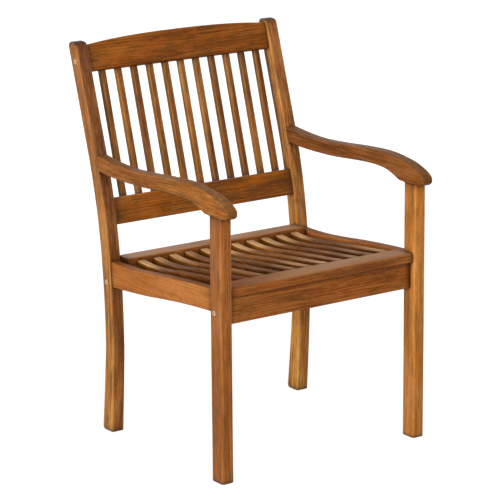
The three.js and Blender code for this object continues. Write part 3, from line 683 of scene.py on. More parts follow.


# Each wood's colour for the tops is weather-bleached and also painted top light: the dark ones paint shade
# on the tops of legs, arms and rails, the pale ones a painted sheen on the seat
FRONT_LEG_WOOD = OiledHardwood(
    "calm oiled hardwood of the front legs", "leg_wood", heart="#a5642f", dark="#623615", light="#cc8956",
    sun="#3a2a1c", sun_share=0.85, figure=0.8, mottle=0.35, shine=0.14,
)
BACK_LEG_WOOD = OiledHardwood(
    "figured oiled hardwood of the back legs", "leg_wood", heart="#a56633", dark="#5f3515", light="#cf9356",
    sun="#3a2a1c", sun_share=0.85, figure=1.15, shine=0.14,
)
ARM_WOOD = OiledHardwood(
    "oiled hardwood of the arms", "arm_wood", heart="#a36530", dark="#613815", light="#cf8d56",
    sun="#5a452b", sun_share=0.8, shine=0.07, end_share=0.3, front_wear=1.0,
)
RAIL_WOOD = OiledHardwood(
    "figured oiled hardwood of the cross rails", "rail_wood", heart="#ad6127", dark="#653510",
    light="#d48c48", sun="#5c3b1f", sun_share=0.7, mottle=0.6, figure=1.3, shine=0.12, nook=16.0,
    nook_share=1.3,
)
SIDE_RAIL_WOOD = OiledHardwood(
    "calm oiled hardwood of the side rails", "rail_wood", heart="#ad6636", dark="#6a3b1c", light="#cf8c58",
    sun="#54300f", sun_share=0.85, mottle=0.25, figure=0.6, shine=0.05,
)
SEAT_WOOD = OiledHardwood(
    "worn oiled hardwood of the seat boards", "seat_wood", heart="#8e4d23", dark="#4e2b10", light="#bc783f",
    sun="#ae8761", sun_share=0.76, roughness=0.5, nook=28.0, shine=0.12,
)
SLAT_WOOD = OiledHardwood(
    "worn oiled hardwood of the seat slats", "seat_wood", heart="#6b3918", dark="#3a1f0f", light="#8c562c",
    sun="#dcae80", sun_share=1.0, roughness=0.5, nook=12.0, shine=0.03,
)
BACK_WOOD = OiledHardwood(
    "oiled hardwood of the back rails", "back_wood", heart="#985317", dark="#502809", light="#bf7834",
    mottle=0.65, shine=0.12,
)
BACK_SLAT_WOOD = OiledHardwood(
    "oiled hardwood of the back slats", "back_wood", heart="#965b23", dark="#4e2c0e", light="#cd9250",
    shine=0.15, streak_width=2.4,
)
ZINC = PlatedSteel()
BEECH = TurnedBeech()


@dataclass(frozen=True)
class Board:
    """What one finished wooden piece needs to know about the board that it was cut from."""

    finish: OiledHardwood
    tone: float
    grain: Callable[[Vector], Vector]
    # A paler left side and tone that changes with height and depth, partly painted light and shade
    sapwood: float = 0.0
    sapwood_depth: float = 4.5
    paling: float = 0.0
    darkening: float = 0.0
    fading: float = 0.0

    def tone_at(self, depth: float, point: Vector) -> float:
        """Tone at a point: paler on the left side, which is pale outer wood and painted light on the left
        faces, darker higher up, which is painted shade, and darker further back, or paler where the number
        is below zero, as painted light on the seat slats.

        Args:
            depth: distance from the piece's left side in millimetres.
            point: the point in millimetres in the chair's frame.

        Returns:
            A tone from 0, dark, to 1, pale.
        """
        left_share = max(1 - depth / self.sapwood_depth, 0.0)
        pale = left_share * (self.sapwood + self.paling * point.y * MM)
        return self.tone + pale - (self.darkening * point.z + self.fading * point.y) * MM


def mark(mesh: Mesh, name: str, values: Sequence[float] | Sequence[Sequence[float]]) -> None:
    """Stores a number or a vector for each point of a mesh.

    Args:
        mesh: the mesh.
        name: the attribute's name.
        values: the numbers or the vectors, in the order of the points.
    """
    if isinstance(values[0], float):
        kind, key = "FLOAT", "value"
    else:
        kind, key, values = "FLOAT_VECTOR", "vector", [c for vector in values for c in vector]
    mesh.attributes.new(name, kind, "POINT").data.foreach_set(key, values)


def finished_mesh(name: str, bar: BMesh, board: Board) -> Mesh:
    """Mesh of a wooden piece in metres in the part's frame, dressed with its board.

    Args:
        name: the piece's name.
        bar: the piece in millimetres in the chair's frame.
        board: the board that it was cut from.

    Returns:
        The finished mesh.
    """
    chance = random.Random(name)
    shift = Vector([chance.uniform(*limits) for limits in TREE])
    grains = [board.grain(v.co) * MM + shift for v in bar.verts]
    left = min(v.co.x for v in bar.verts)
    tones = [board.tone_at(v.co.x - left, v.co) for v in bar.verts]
    bar.transform(Matrix.Translation((0, FRONT_FACE_Y, 0)) @ Matrix.Scale(MM, 4))
    mesh = as_mesh(name, bar, crease=38)
    mark(mesh, "grain", grains)
    mark(mesh, "board_tone", tones)
    mesh.materials.append(board.finish.material())
    return mesh


def rub(piece: Object, rubbed: Callable[[float, float], float]) -> None:
    """Marks where people's clothes and hands wear a finished piece, and where painted shade darkens it.

    Args:
        piece: the finished piece.
        rubbed: share of the wear and painted shade at a place given in X and Y in millimetres in the
            chair's frame.
    """
    points = [v.co for v in piece.data.vertices]
    mark(piece.data, "rubbed", [rubbed(p.x / MM, (p.y - FRONT_FACE_Y) / MM) for p in points])


def hand_over(name: str, mesh: Mesh, slot: str, nodes: Sequence[str]) -> Object:
    """Puts a finished mesh into the scene in the place of its nodes.

    Args:
        name: the piece's name.
        mesh: the finished mesh in metres.
        slot: not used.
        nodes: the nodes that the piece stands for.

    Returns:
        The piece.
    """
    piece = in_scene(name, mesh)
    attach(piece, "root")
    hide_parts(*nodes)
    return piece


def wooden_piece(name: str, bar: BMesh, board: Board) -> Object:
    """Finishes a single wooden piece that stands for the node of the same base name."""
    return hand_over(f"{name}_finished", finished_mesh(name, bar, board), board.finish.slot, [name])


class Rule:
    """A geometry-nodes tree with named inputs, which works on a mesh and gives back a plain one."""

    def __init__(self, name: str, **labels: str) -> None:
        """Starts the tree.

        Args:
            name: the tree's name.
            **labels: for a kind of socket the names of its inputs, with commas between them.
        """
        self.tree = bpy.data.node_groups.new(name, "GeometryNodeTree")
        face = self.tree.interface
        for kind, names in {"Geometry": "Geometry", **labels, "Material": "Material"}.items():
            for label in names.split(", "):
                face.new_socket(label, in_out="INPUT", socket_type=f"NodeSocket{kind}")
        face.new_socket("Geometry", in_out="OUTPUT", socket_type="NodeSocketGeometry")
        self.add = partial(add_node, self.tree)
        self.given = self.add("NodeGroupInput").node.outputs

    def close(self, geometry: NodeSocket) -> "Rule":
        """Ends the tree with real geometry and its material.

        Args:
            geometry: what the tree has made.

        Returns:
            The rule.
        """
        real = self.add("GeometryNodeRealizeInstances", {0: geometry})
        dressed = self.add("GeometryNodeSetMaterial", {0: real, "Material": self.given["Material"]})
        self.add("NodeGroupOutput", {0: dressed})
        return self

    def apply(self, mesh: Mesh, values: dict[str, object]) -> Mesh:
        """Runs the tree on a mesh.

        Args:
            mesh: the geometry that goes in.
            values: a value for each named input.

        Returns:
            The result as a plain mesh.
        """
        holder = in_scene(f"{self.tree.name} holder", mesh)
        modifier = holder.modifiers.new(self.tree.name, "NODES")
        modifier.node_group = self.tree
        for item in self.tree.interface.items_tree:
            if item.in_out == "INPUT" and item.name in values:
                modifier[item.identifier] = values[item.name]
        holder.update_tag()
        result = evaluated_mesh(holder)
        bpy.data.objects.remove(holder)
        return result


@cache
def swept_leg_rule() -> Rule:
    """Rule that sweeps a straight blank into a back leg: upright at the waist, raked above it.

    Returns:
        The rule.
    """
    rule = Rule(
        "swept leg",
        Float="waist_height, waist_centre, foot_sweep, sweep_power, bend_top, bend_power, rake, foot_flare",
    )
    x, y, z = rule.add("ShaderNodeSeparateXYZ", {0: rule.add("GeometryNodeInputPosition")}).node.outputs
    known = {"y": y, "z": z, **{socket.name: socket for socket in rule.given}}
    for name, operation, *terms in (
        ("drop", "SUBTRACT", "waist_height", "z"),
        ("dropped", "DIVIDE", "drop", "waist_height"),
        ("below", "MAXIMUM", "dropped", 0.0),
        ("curved", "POWER", "below", "sweep_power"),
        ("sweep", "MULTIPLY", "foot_sweep", "curved"),
        ("run", "SUBTRACT", "bend_top", "waist_height"),
        ("rise", "SUBTRACT", "z", "waist_height"),
        ("risen", "DIVIDE", "rise", "run"),
        ("over", "MAXIMUM", "risen", 0.0),
        ("above", "MINIMUM", "over", 1.0),
        ("lean", "MULTIPLY", "rake", "run"),
        ("reach", "DIVIDE", "lean", "bend_power"),
        ("bent", "POWER", "above", "bend_power"),
        ("bend", "MULTIPLY", "reach", "bent"),
        ("from top", "SUBTRACT", "z", "bend_top"),
        ("straight", "MAXIMUM", "from top", 0.0),
        ("past", "MULTIPLY", "straight", "rake"),
        ("flare", "MULTIPLY_ADD", "below", "foot_flare", 1.0),
        ("lower", "ADD", "sweep", "bend"),
        ("upper", "ADD", "past", "waist_centre"),
        ("centre", "ADD", "lower", "upper"),
        ("swept", "MULTIPLY_ADD", "y", "flare", "centre"),
    ):
        inputs = {i: known.get(term, term) for i, term in enumerate(terms)}
        known[name] = rule.add("ShaderNodeMath", inputs, operation=operation)
    place = rule.add("ShaderNodeCombineXYZ", {0: x, 1: known["swept"], 2: z})
    moved = rule.add("GeometryNodeSetPosition", {"Geometry": known["Geometry"], "Position": place})
    return rule.close(moved)


@cache
def slat_row_rule() -> Rule:
    """Rule that repeats one slat across the chair, each cut from a board of its own.

    Returns:
        The rule.
    """
    rule = Rule("row of slats", Int="Count, Seed", Float="Pitch, Play, Tone, Spread")
    given, vector = rule.given, {"data_type": "FLOAT_VECTOR"}
    gaps = rule.add("ShaderNodeMath", {0: given["Count"], 1: 1.0}, operation="SUBTRACT")
    wide = rule.add("ShaderNodeMath", {0: gaps, 1: given["Pitch"]}, operation="MULTIPLY")
    start = rule.add("ShaderNodeMath", {0: wide, 1: -0.5}, operation="MULTIPLY")
    ends = [rule.add("ShaderNodeCombineXYZ", {0: x}) for x in (start, given["Pitch"])]
    line = rule.add(
        "GeometryNodeMeshLine", {"Count": given["Count"], "Start Location": ends[0], "Offset": ends[1]},
        mode="OFFSET", count_mode="TOTAL",
    )
    play = rule.add("ShaderNodeCombineXYZ", {0: given["Play"], 2: given["Play"]})
    minus = rule.add("ShaderNodeVectorMath", {0: play, 1: (-1, -1, -1)}, operation="MULTIPLY")
    jitter = rule.add("FunctionNodeRandomValue", {0: minus, 1: play, "Seed": given["Seed"]}, **vector)
    points = rule.add("GeometryNodeSetPosition", {"Geometry": line, "Offset": jitter})
    row = rule.add("GeometryNodeInstanceOnPoints", {"Points": points, "Instance": given["Geometry"]})

    # Each slat draws a place in the tree and a tone, which its points then add to their own
    seeds = [rule.add("ShaderNodeMath", {0: given["Seed"], 1: step}) for step in (7.0, 3.0)]
    limits = {0: (-0.05, -0.05, 0.0), 1: (0.05, 0.05, 6.0), "Seed": seeds[0]}
    board = rule.add("FunctionNodeRandomValue", limits, **vector)
    tones = {
        i: rule.add("ShaderNodeMath", {0: given["Tone"], 1: given["Spread"]}, operation=operation)
        for i, operation in ((2, "SUBTRACT"), (3, "ADD"))
    }
    tone = rule.add("FunctionNodeRandomValue", {**tones, "Seed": seeds[1]}, 1, data_type="FLOAT")
    drawn = (
        ("grain", "board_shift", board, "FLOAT_VECTOR", "ShaderNodeVectorMath"),
        ("board_tone", "slat_tone", tone, "FLOAT", "ShaderNodeMath"),
    )
    for _, label, value, kind, _ in drawn:
        stored = {"Geometry": row, "Name": label, "Value": value}
        row = rule.add("GeometryNodeStoreNamedAttribute", stored, data_type=kind, domain="INSTANCE")
    real = rule.add("GeometryNodeRealizeInstances", {0: row})
    for own, label, _, kind, total in drawn:
        terms = {
            i: rule.add("GeometryNodeInputNamedAttribute", {0: term}, data_type=kind)
            for i, term in enumerate((own, label))
        }
        stored = {"Geometry": real, "Name": own, "Value": rule.add(total, terms)}
        real = rule.add("GeometryNodeStoreNamedAttribute", stored, data_type=kind, domain="POINT")
    return rule.close(real)


@cache
def fastener_rule() -> Rule:
    """Rule that sets one fastener at every place, turned as the place says.

    Returns:
        The rule.
    """
    rule = Rule("fasteners at their places", Object="Fastener")
    one = rule.add("GeometryNodeObjectInfo", {"Object": rule.given["Fastener"]}, "Geometry")
    turn = rule.add("GeometryNodeInputNamedAttribute", {0: "turn"}, data_type="FLOAT_VECTOR")
    places = {"Points": rule.given["Geometry"], "Instance": one, "Rotation": turn}
    return rule.close(rule.add("GeometryNodeInstanceOnPoints", places))


@dataclass
class Outline:
    """Sizes that several sub-assemblies share."""

    overall_width: float = 560.0
    leg_top: float = 892.0
    seat_height: float = 436.0
    arm_height: float = 648.0
    leg_span: float = 433.5
    leg_width: float = 32.0
    front_leg_depth: float = 42.0
    back_leg_depth: float = 35.0
    back_foot_depth: float = 43.0
    waist_height: float = 205.0
    foot_sweep: float = 16.0
    sweep_power: float = 1.2
    bend_top: float = 650.0
    bend_power: float = 2.36
    rake: float = 0.31
    arm_crown_rise: float = 56.0
    face_gap: float = 0.3
    rail_thickness: float = 22.0
    seat_fall: float = 31.0
    slat_count: int = 11
    slat_end_margin: float = 34.0

    @property
    def inner_half(self) -> float:
        """Half the width between the legs."""
        return self.overall_width / 2 - self.leg_width

    @property
    def leg_x(self) -> float:
        """Distance of a leg's middle from the chair's."""
        return self.overall_width / 2 - self.leg_width / 2

    @property
    def rail_half(self) -> float:
        """Half the length of a rail between the legs."""
        return self.inner_half - self.face_gap

    @property
    def slat_pitch(self) -> float:
        """Distance from one slat's middle to the next."""
        return 2 * (self.inner_half - self.slat_end_margin) / (self.slat_count - 1)

    @property
    def foot_flare(self) -> float:
        """Depth that the back foot has over the waist, as a share of the waist's."""
        return self.back_foot_depth / self.back_leg_depth - 1

    @property
    def waist_centre(self) -> float:
        """Middle of the back leg at its waist, from front to back."""
        return self.leg_span + self.back_leg_depth / 2

    def below(self, z: float) -> float:
        """Share of the way from the back leg's waist down to the floor at a height."""
        return max(self.waist_height - z, 0.0) / self.waist_height

    def leg_centre(self, z: float) -> float:
        """Middle of the back leg at a height, from front to back."""
        run = self.bend_top - self.waist_height
        above = min(max((z - self.waist_height) / run, 0.0), 1.0)
        sweep = self.foot_sweep * self.below(z) ** self.sweep_power
        bend = self.rake * run / self.bend_power * above**self.bend_power
        return self.waist_centre + sweep + bend + self.rake * max(z - self.bend_top, 0.0)

    def leg_front(self, z: float) -> float:
        """Front face of the back leg at a height."""
        depth = self.back_leg_depth + (self.back_foot_depth - self.back_leg_depth) * self.below(z)
        return self.leg_centre(z) - depth / 2

    def scribed(self, start: float, end: float) -> Shape:
        """Shape that fits the rear end of a bar to the curved front of the back leg.

        Args:
            start: place along the bar where the fitting begins.
            end: place of the bar's square end.

        Returns:
            The move for each point.
        """

        def move(point: Vector) -> Vector:
            """Moves one point of the bar."""
            share = max((point.y - start) / (end - start), 0.0)
            return point + Vector((0, share * (self.leg_front(point.z) - self.face_gap - end), 0))

        return move


def cross_bar(outline: Outline, section: Section) -> BMesh:
    """Straight bar from leg to leg with one section all the way."""
    places = evenly(-outline.rail_half, outline.rail_half, BAR_STATIONS)
    return loft(Run.ACROSS, butt_ends(places, lambda _: section))


def slat_row(outline: Outline, name: str, slat: BMesh, board: Board, **drawn: float) -> Object:
    """Repeats a slat across the chair.

    Args:
        outline: the chair's shared sizes.
        name: the name of one slat.
        slat: the slat in millimetres in the middle of the chair.
        board: the board that it was cut from.
        **drawn: the rule's inputs for what differs from slat to slat.

    Returns:
        The finished row.
    """
    pitch, material = outline.slat_pitch * MM, board.finish.material()
    values = {"Count": outline.slat_count, "Pitch": pitch, "Material": material, **drawn}
    row = slat_row_rule().apply(finished_mesh(name, slat, board), values)
    nodes = [f"{name}_{i + 1:02d}" for i in range(outline.slat_count)]
    return hand_over(f"{name}s", row, board.finish.slot, nodes)


@dataclass
class BoltPlaces:
    """Holes of the three bolted rails for their bolts and barrel nuts."""

    outline: Outline
    head_diameter: float = 13.0
    head_height: float = 5.0
    head_recess: float = 0.2
    counterbore_clearance: float = 0.6
    shank_diameter: float = 6.0
    nut_diameter: float = 10.0
    nut_length: float = 14.0
    nut_from_end: float = 30.0
    beyond_nut: float = 8.0
    clearance: float = 0.3
    past_face: float = 3.0

    @property
    def bolt_end(self) -> float:
        """Distance of a shank's end from the middle of the chair."""
        return self.nut_x - self.beyond_nut

    @property
    def nut_x(self) -> float:
        """Distance of a barrel nut from the middle of the chair."""
        return self.outline.rail_half - self.nut_from_end

    @property
    def bore(self) -> float:
        """Diameter of the hole for a shank."""
        return self.shank_diameter + 2 * self.clearance

    def bolt_holes(self, side: Side, y: float, z: float) -> list[Hole]:
        """Counterbore and shank hole at a place, from outside the leg to inside the rail.

        Args:
            side: the side of the chair.
            y: the bolt's distance from the front.
            z: the bolt's height.

        Returns:
            The two holes.
        """
        half = self.outline.overall_width / 2
        shoulder = half - self.head_recess - self.head_height - self.clearance
        wide = self.head_diameter + 2 * self.counterbore_clearance
        return [
            (Vector((side.value * x, y, z)), Vector((side.value * (half + self.past_face), y, z)), diameter)
            for x, diameter in ((shoulder, wide), (self.bolt_end, self.bore))
        ]

    def rail_holes(self, y: float, z: float, way: int) -> list[Hole]:
        """Every hole of a rail.

        Args:
            y: the bolts' distance from the front.
            z: the bolts' height.
            way: 1 where the nuts' holes open to the back, or -1 to the front.

        Returns:
            The bolts' holes and the nuts'.
        """
        holes = [hole for side in Side for hole in self.bolt_holes(side, y, z)]
        blind = y - way * (self.nut_length / 2 + self.clearance)
        mouth = y + way * (self.outline.rail_thickness / 2 + self.past_face)
        wide = self.nut_diameter + 2 * self.clearance
        for x in (side.value * self.nut_x for side in Side):
            holes.append((Vector((x, blind, z)), Vector((x, mouth, z)), wide))
        return holes


@dataclass
class SeatFrame:
    """Curved side rails and the two straight rails under the seat."""

    outline: Outline
    bolts: BoltPlaces
    side_setback: float = 4.0
    side_height: float = 53.5
    side_radius: float = 4.0
    front_setback: float = 15.0
    front_height: float = 61.0
    rear_height: float = 61.0
    rear_inset: float = 9.0
    front_bolt_drop: float = 1.5
    rear_bolt_drop: float = 6.0
    rail_radius: float = 3.0
    board_thickness: float = 22.0
    rear_board_drop: float = 20.5
    scribe: float = 30.0
    stations: int = 64
    top_shares: Table = (
        (-0.05, 0.11), (0.0, 0.13), (0.15, 0.22), (0.30, 0.35), (0.47, 0.54), (0.62, 0.74),
        (0.76, 0.88), (0.88, 0.93), (1.0, 0.92), (1.08, 0.88),
    )
    height_shares: Table = (
        (-0.05, 0.96), (0.0, 0.96), (0.3, 0.98), (0.55, 1.01), (0.8, 1.04), (1.0, 1.12), (1.08, 1.17),
    )

    @property
    def side_end(self) -> float:
        """Where a side rail meets the back leg."""
        return self.outline.leg_front(self.outline.seat_height - self.outline.seat_fall)

    def side_section(self, y: float, side: Side) -> Section:
        """Section of a side rail at a distance from the front."""
        out = self.outline
        share = (y - out.front_leg_depth) / (self.side_end - out.front_leg_depth)
        top = out.seat_height - out.seat_fall * curve_through(self.top_shares, share)
        height = self.side_height * curve_through(self.height_shares, share)
        x = side.value * (out.overall_width / 2 - self.side_setback - out.rail_thickness / 2)
        half = out.rail_thickness / 2
        return Section(top - height, top, x - half, x + half, (self.side_radius,) * 4)

    @property
    def front_top(self) -> float:
        """Top of the front rail."""
        return self.outline.seat_height - self.board_thickness - self.outline.face_gap

    @property
    def rear_top(self) -> float:
        """Top of the rear rail."""
        return self.front_top - self.rear_board_drop

    @property
    def rear_front(self) -> float:
        """Front face of the rear rail."""
        return self.outline.leg_front(self.rear_top - self.rear_height / 2) + self.rear_inset

    @property
    def front_bolt(self) -> Spot:
        """Place of the front rail's bolts in Y and Z."""
        z = self.front_top - self.front_height / 2 - self.front_bolt_drop
        return self.front_setback + self.outline.rail_thickness / 2, z

    @property
    def rear_bolt(self) -> Spot:
        """Place of the rear rail's bolts in Y and Z."""
        z = self.rear_top - self.rear_height / 2 - self.rear_bolt_drop
        return self.rear_front + self.outline.rail_thickness / 2, z

    def build(self) -> list[Object]:
        """Builds the four rails of the seat.

        Returns:
            The finished pieces.
        """
        pieces, out, end = [], self.outline, self.side_end
        for side in Side:
            places = evenly(out.front_leg_depth + out.face_gap, end, self.stations)
            stations = butt_ends(places, lambda y: self.side_section(y, side))
            bar = loft(Run.BACKWARDS, stations, out.scribed(end - self.scribe, end))
            board = Board(SIDE_RAIL_WOOD, 0.62, Run.BACKWARDS.grain)
            pieces.append(wooden_piece(f"seat_side_rail_{side.word}", bar, board))
        for name, front, top, height, spot, way, tone in (
            ("front_rail", self.front_setback, self.front_top, self.front_height, self.front_bolt, 1, 0.17),
            ("rear_rail", self.rear_front, self.rear_top, self.rear_height, self.rear_bolt, -1, 0.28),
        ):
            section = Section(front, front + out.rail_thickness, top - height, top, (self.rail_radius,) * 4)
            bar = drilled(cross_bar(out, section), self.bolts.rail_holes(*spot, way))
            pieces.append(wooden_piece(name, bar, Board(RAIL_WOOD, tone, Run.ACROSS.grain)))
        return pieces


@dataclass
class SeatPanel:
    """The two boards of the seat and the dished slats between them."""

    outline: Outline
    frame: SeatFrame
    front_setback: float = 4.5
    front_depth: float = 53.5
    nose_radius: float = 6.0
    rear_depth: float = 44.0
    rear_overlap: float = 9.5
    board_radius: float = 3.0
    slat_width: float = 22.0
    slat_thickness: float = 15.2
    slat_radius: float = 4.5
    board_fade: float = -1.8
    board_start: float = -0.8
    slat_fade: float = 1.1
    slat_start: float = 0.25
    stations: int = 60
    slat_shares: Table = (
        (-0.06, 0.02), (0.0, 0.03), (0.14, 0.2), (0.33, 0.4), (0.52, 0.62), (0.70, 0.87),
        (0.84, 0.98), (0.93, 0.95), (1.0, 0.87), (1.06, 0.8),
    )
    rubbed_shares: Table = (
        (-0.2, 0.0), (0.0, 0.0), (0.12, 0.1), (0.3, 0.65), (0.45, 0.9), (0.72, 0.95), (0.84, 0.3),
        (0.92, 0.0), (1.1, 0.0),
    )
    forward_shares: Table = ((-0.2, 1.0), (0.3, 1.0), (0.7, 0.9), (0.9, 0.0), (1.1, 0.0))

    @property
    def front_rear(self) -> float:
        """Rear edge of the front board."""
        return self.front_setback + self.front_depth

    @property
    def rear_rear(self) -> float:
        """Rear edge of the rear board."""
        return self.frame.rear_front + self.rear_overlap

    @property
    def rear_front(self) -> float:
        """Front edge of the rear board."""
        return self.rear_rear - self.rear_depth

    def share(self, y: float) -> float:
        """Share of the way along the slats at a distance from the front."""
        return (y - self.front_rear) / (self.rear_front - self.front_rear)

    def slat_section(self, y: float) -> Section:
        """Section of a seat slat at a distance from the front."""
        fall = self.outline.seat_fall * curve_through(self.slat_shares, self.share(y))
        top, half = self.outline.seat_height - fall, self.slat_width / 2
        return Section(top - self.slat_thickness, top, -half, half, (self.slat_radius,) * 4)

    def rubbed(self, x: float, y: float) -> float:
        """Share of the wear and of painted shade: most where people sit, which is wear and painted shade
        along the slats, and a painted shadow towards the left arm.

        Args:
            x: distance from the middle of the seat in millimetres.
            y: distance from the front in millimetres.

        Returns:
            A share from 0 to 1.
        """
        back = self.share(y)
        aside = x / (self.outline.slat_pitch * (self.outline.slat_count - 1) / 2)
        if back < 0:
            return min(max(self.board_fade * aside + self.board_start, 0.0), 1.0)
        sat_on_and_shaded = curve_through(self.rubbed_shares, back)
        forward = curve_through(self.forward_shares, back)
        return min(max(sat_on_and_shaded, forward * (self.slat_start - aside) / self.slat_fade, 0.0), 1.0)

    def build(self) -> list[Object]:
        """Builds the boards and the slats.

        Returns:
            The finished pieces.
        """
        seat, thick, radius = self.outline.seat_height, self.frame.board_thickness, self.board_radius
        radii = (radius, self.nose_radius, radius, radius)
        front = Section(self.front_setback, self.front_rear, seat - thick, seat, radii)
        top = seat - self.frame.rear_board_drop
        rear = Section(self.rear_front, self.rear_rear, top - thick, top, (radius,) * 4)
        pieces = []
        for name, section, tone in (("seat_front_board", front, 0.42), ("seat_rear_board", rear, 0.45)):
            board = Board(SEAT_WOOD, tone, Run.ACROSS.grain)
            pieces.append(wooden_piece(name, cross_bar(self.outline, section), board))
        gap = self.outline.face_gap
        places = evenly(self.front_rear + gap, self.rear_front - gap, self.stations)
        slat = loft(Run.BACKWARDS, butt_ends(places, self.slat_section))
        # Painted light: the slats grow paler further back, and their left sides are darker at the front and
        # paler at the back
        board = Board(SLAT_WOOD, 0.0, Run.BACKWARDS.grain, sapwood=-0.35, paling=2.4, fading=-0.35)
        drawn = {"Seed": 5, "Play": 0.0003, "Tone": 0.44, "Spread": 0.06}
        pieces.append(slat_row(self.outline, "seat_slat", slat, board, **drawn))
        # The front board and the slats are marked with wear and painted shade
        for piece in (pieces[0], pieces[-1]):
            rub(piece, self.rubbed)
        return pieces


@dataclass
class BackPanel:
    """Crest rail, lower rail and the straight slats between them, leaning as one panel."""

    outline: Outline
    bolts: BoltPlaces
    thickness: float = 22.0
    crest_drop: float = 71.5
    crest_end: float = 62.0
    crest_rise: float = 11.8
    arch_power: float = 2.6
    crest_lower_radius: float = 9.0
    edge_radius: float = 3.0
    lower_height: float = 62.0
    lower_rise: float = 78.0
    lower_top_radius: float = 5.0
    slat_width: float = 14.5
    slat_thickness: float = 14.0
    slat_radius: float = 2.5
    setback_shift: float = -0.5
    bolt_drop: float = 4.0
    joint: float = 0.12
    stations: int = 60

    @property
    def lower_centre(self) -> float:
        """Height of the middle of the lower rail."""
        return self.outline.seat_height + self.lower_rise

    @property
    def crest_centre(self) -> float:
        """Height of the middle of the crest rail's ends."""
        return self.outline.leg_top - self.crest_drop + self.crest_end / 2

    @property
    def span(self) -> Spot:
        """Way in Y and Z from the middle of the lower rail to the middle of the crest rail's ends."""
        low, high = self.lower_centre, self.crest_centre
        return self.outline.leg_centre(high) - self.outline.leg_centre(low), high - low

    @property
    def lean(self) -> float:
        """Angle of the panel from upright."""
        return math.atan2(*self.span)

    @property
    def length(self) -> float:
        """Distance between the middles of the two rails."""
        return math.hypot(*self.span)

    @property
    def crest_bottom(self) -> float:
        """Lower edge of the crest rail in the panel's own frame."""
        return self.length - self.crest_end / 2

    @property
    def place(self) -> Matrix:
        """Place of the panel's own frame in the chair."""
        y = self.outline.leg_centre(self.lower_centre) + self.setback_shift
        return Matrix.Translation((0, y, self.lower_centre)) @ Matrix.Rotation(-self.lean, 4, "X")

    @property
    def bolt_height(self) -> float:
        """Height of the crest rail's bolts in the panel's own frame."""
        return self.length - self.bolt_drop

    def in_chair(self, point: Vector) -> Vector:
        """A point of the panel's frame in the chair's."""
        return self.place @ point

    def grain(self, run: Run) -> Callable[[Vector], Vector]:
        """Grain of a piece of the panel, which leans with it."""
        back = self.place.inverted()
        return lambda point: run.grain(back @ point)

    def crest_section(self, x: float) -> Section:
        """Section of the crest rail at a distance from the middle of the chair."""
        share = min(abs(x) / self.outline.inner_half, 1.0)
        top = self.crest_bottom + self.crest_end + self.crest_rise * (1 - share**self.arch_power)
        half, small = self.thickness / 2, self.edge_radius
        return Section(-half, half, self.crest_bottom, top, (small, small, self.crest_lower_radius, small))

    def build(self) -> list[Object]:
        """Builds the panel.

        Returns:
            The finished pieces.
        """
        pieces, out, half, small = [], self.outline, self.thickness / 2, self.edge_radius
        stations = butt_ends(evenly(-out.rail_half, out.rail_half, self.stations), self.crest_section)
        crest = drilled(loft(Run.ACROSS, stations), self.bolts.rail_holes(0.0, self.bolt_height, 1))
        top = self.lower_height / 2
        radii = (self.lower_top_radius, self.lower_top_radius, small, small)
        lower = cross_bar(out, Section(-half, half, -top, top, radii))
        for name, bar, tone in (("crest_rail", crest, 0.29), ("lower_back_rail", lower, 0.42)):
            bmesh.ops.transform(bar, matrix=self.place, verts=bar.verts)
            pieces.append(wooden_piece(name, bar, Board(BACK_WOOD, tone, self.grain(Run.ACROSS))))
        wide, thick = self.slat_width / 2, self.slat_thickness / 2
        section = Section(-wide, wide, -thick, thick, (self.slat_radius,) * 4)
        places = evenly(top + self.joint, self.crest_bottom - self.joint, BAR_STATIONS)
        slat = loft(Run.UP, butt_ends(places, lambda _: section), self.in_chair)
        board = Board(BACK_SLAT_WOOD, 0.0, self.grain(Run.UP), sapwood=0.3, sapwood_depth=self.slat_radius)
        drawn = {"Seed": 11, "Play": 0.0001, "Tone": 0.2, "Spread": 0.16}
        pieces.append(slat_row(out, "back_slat", slat, board, **drawn))
        return pieces


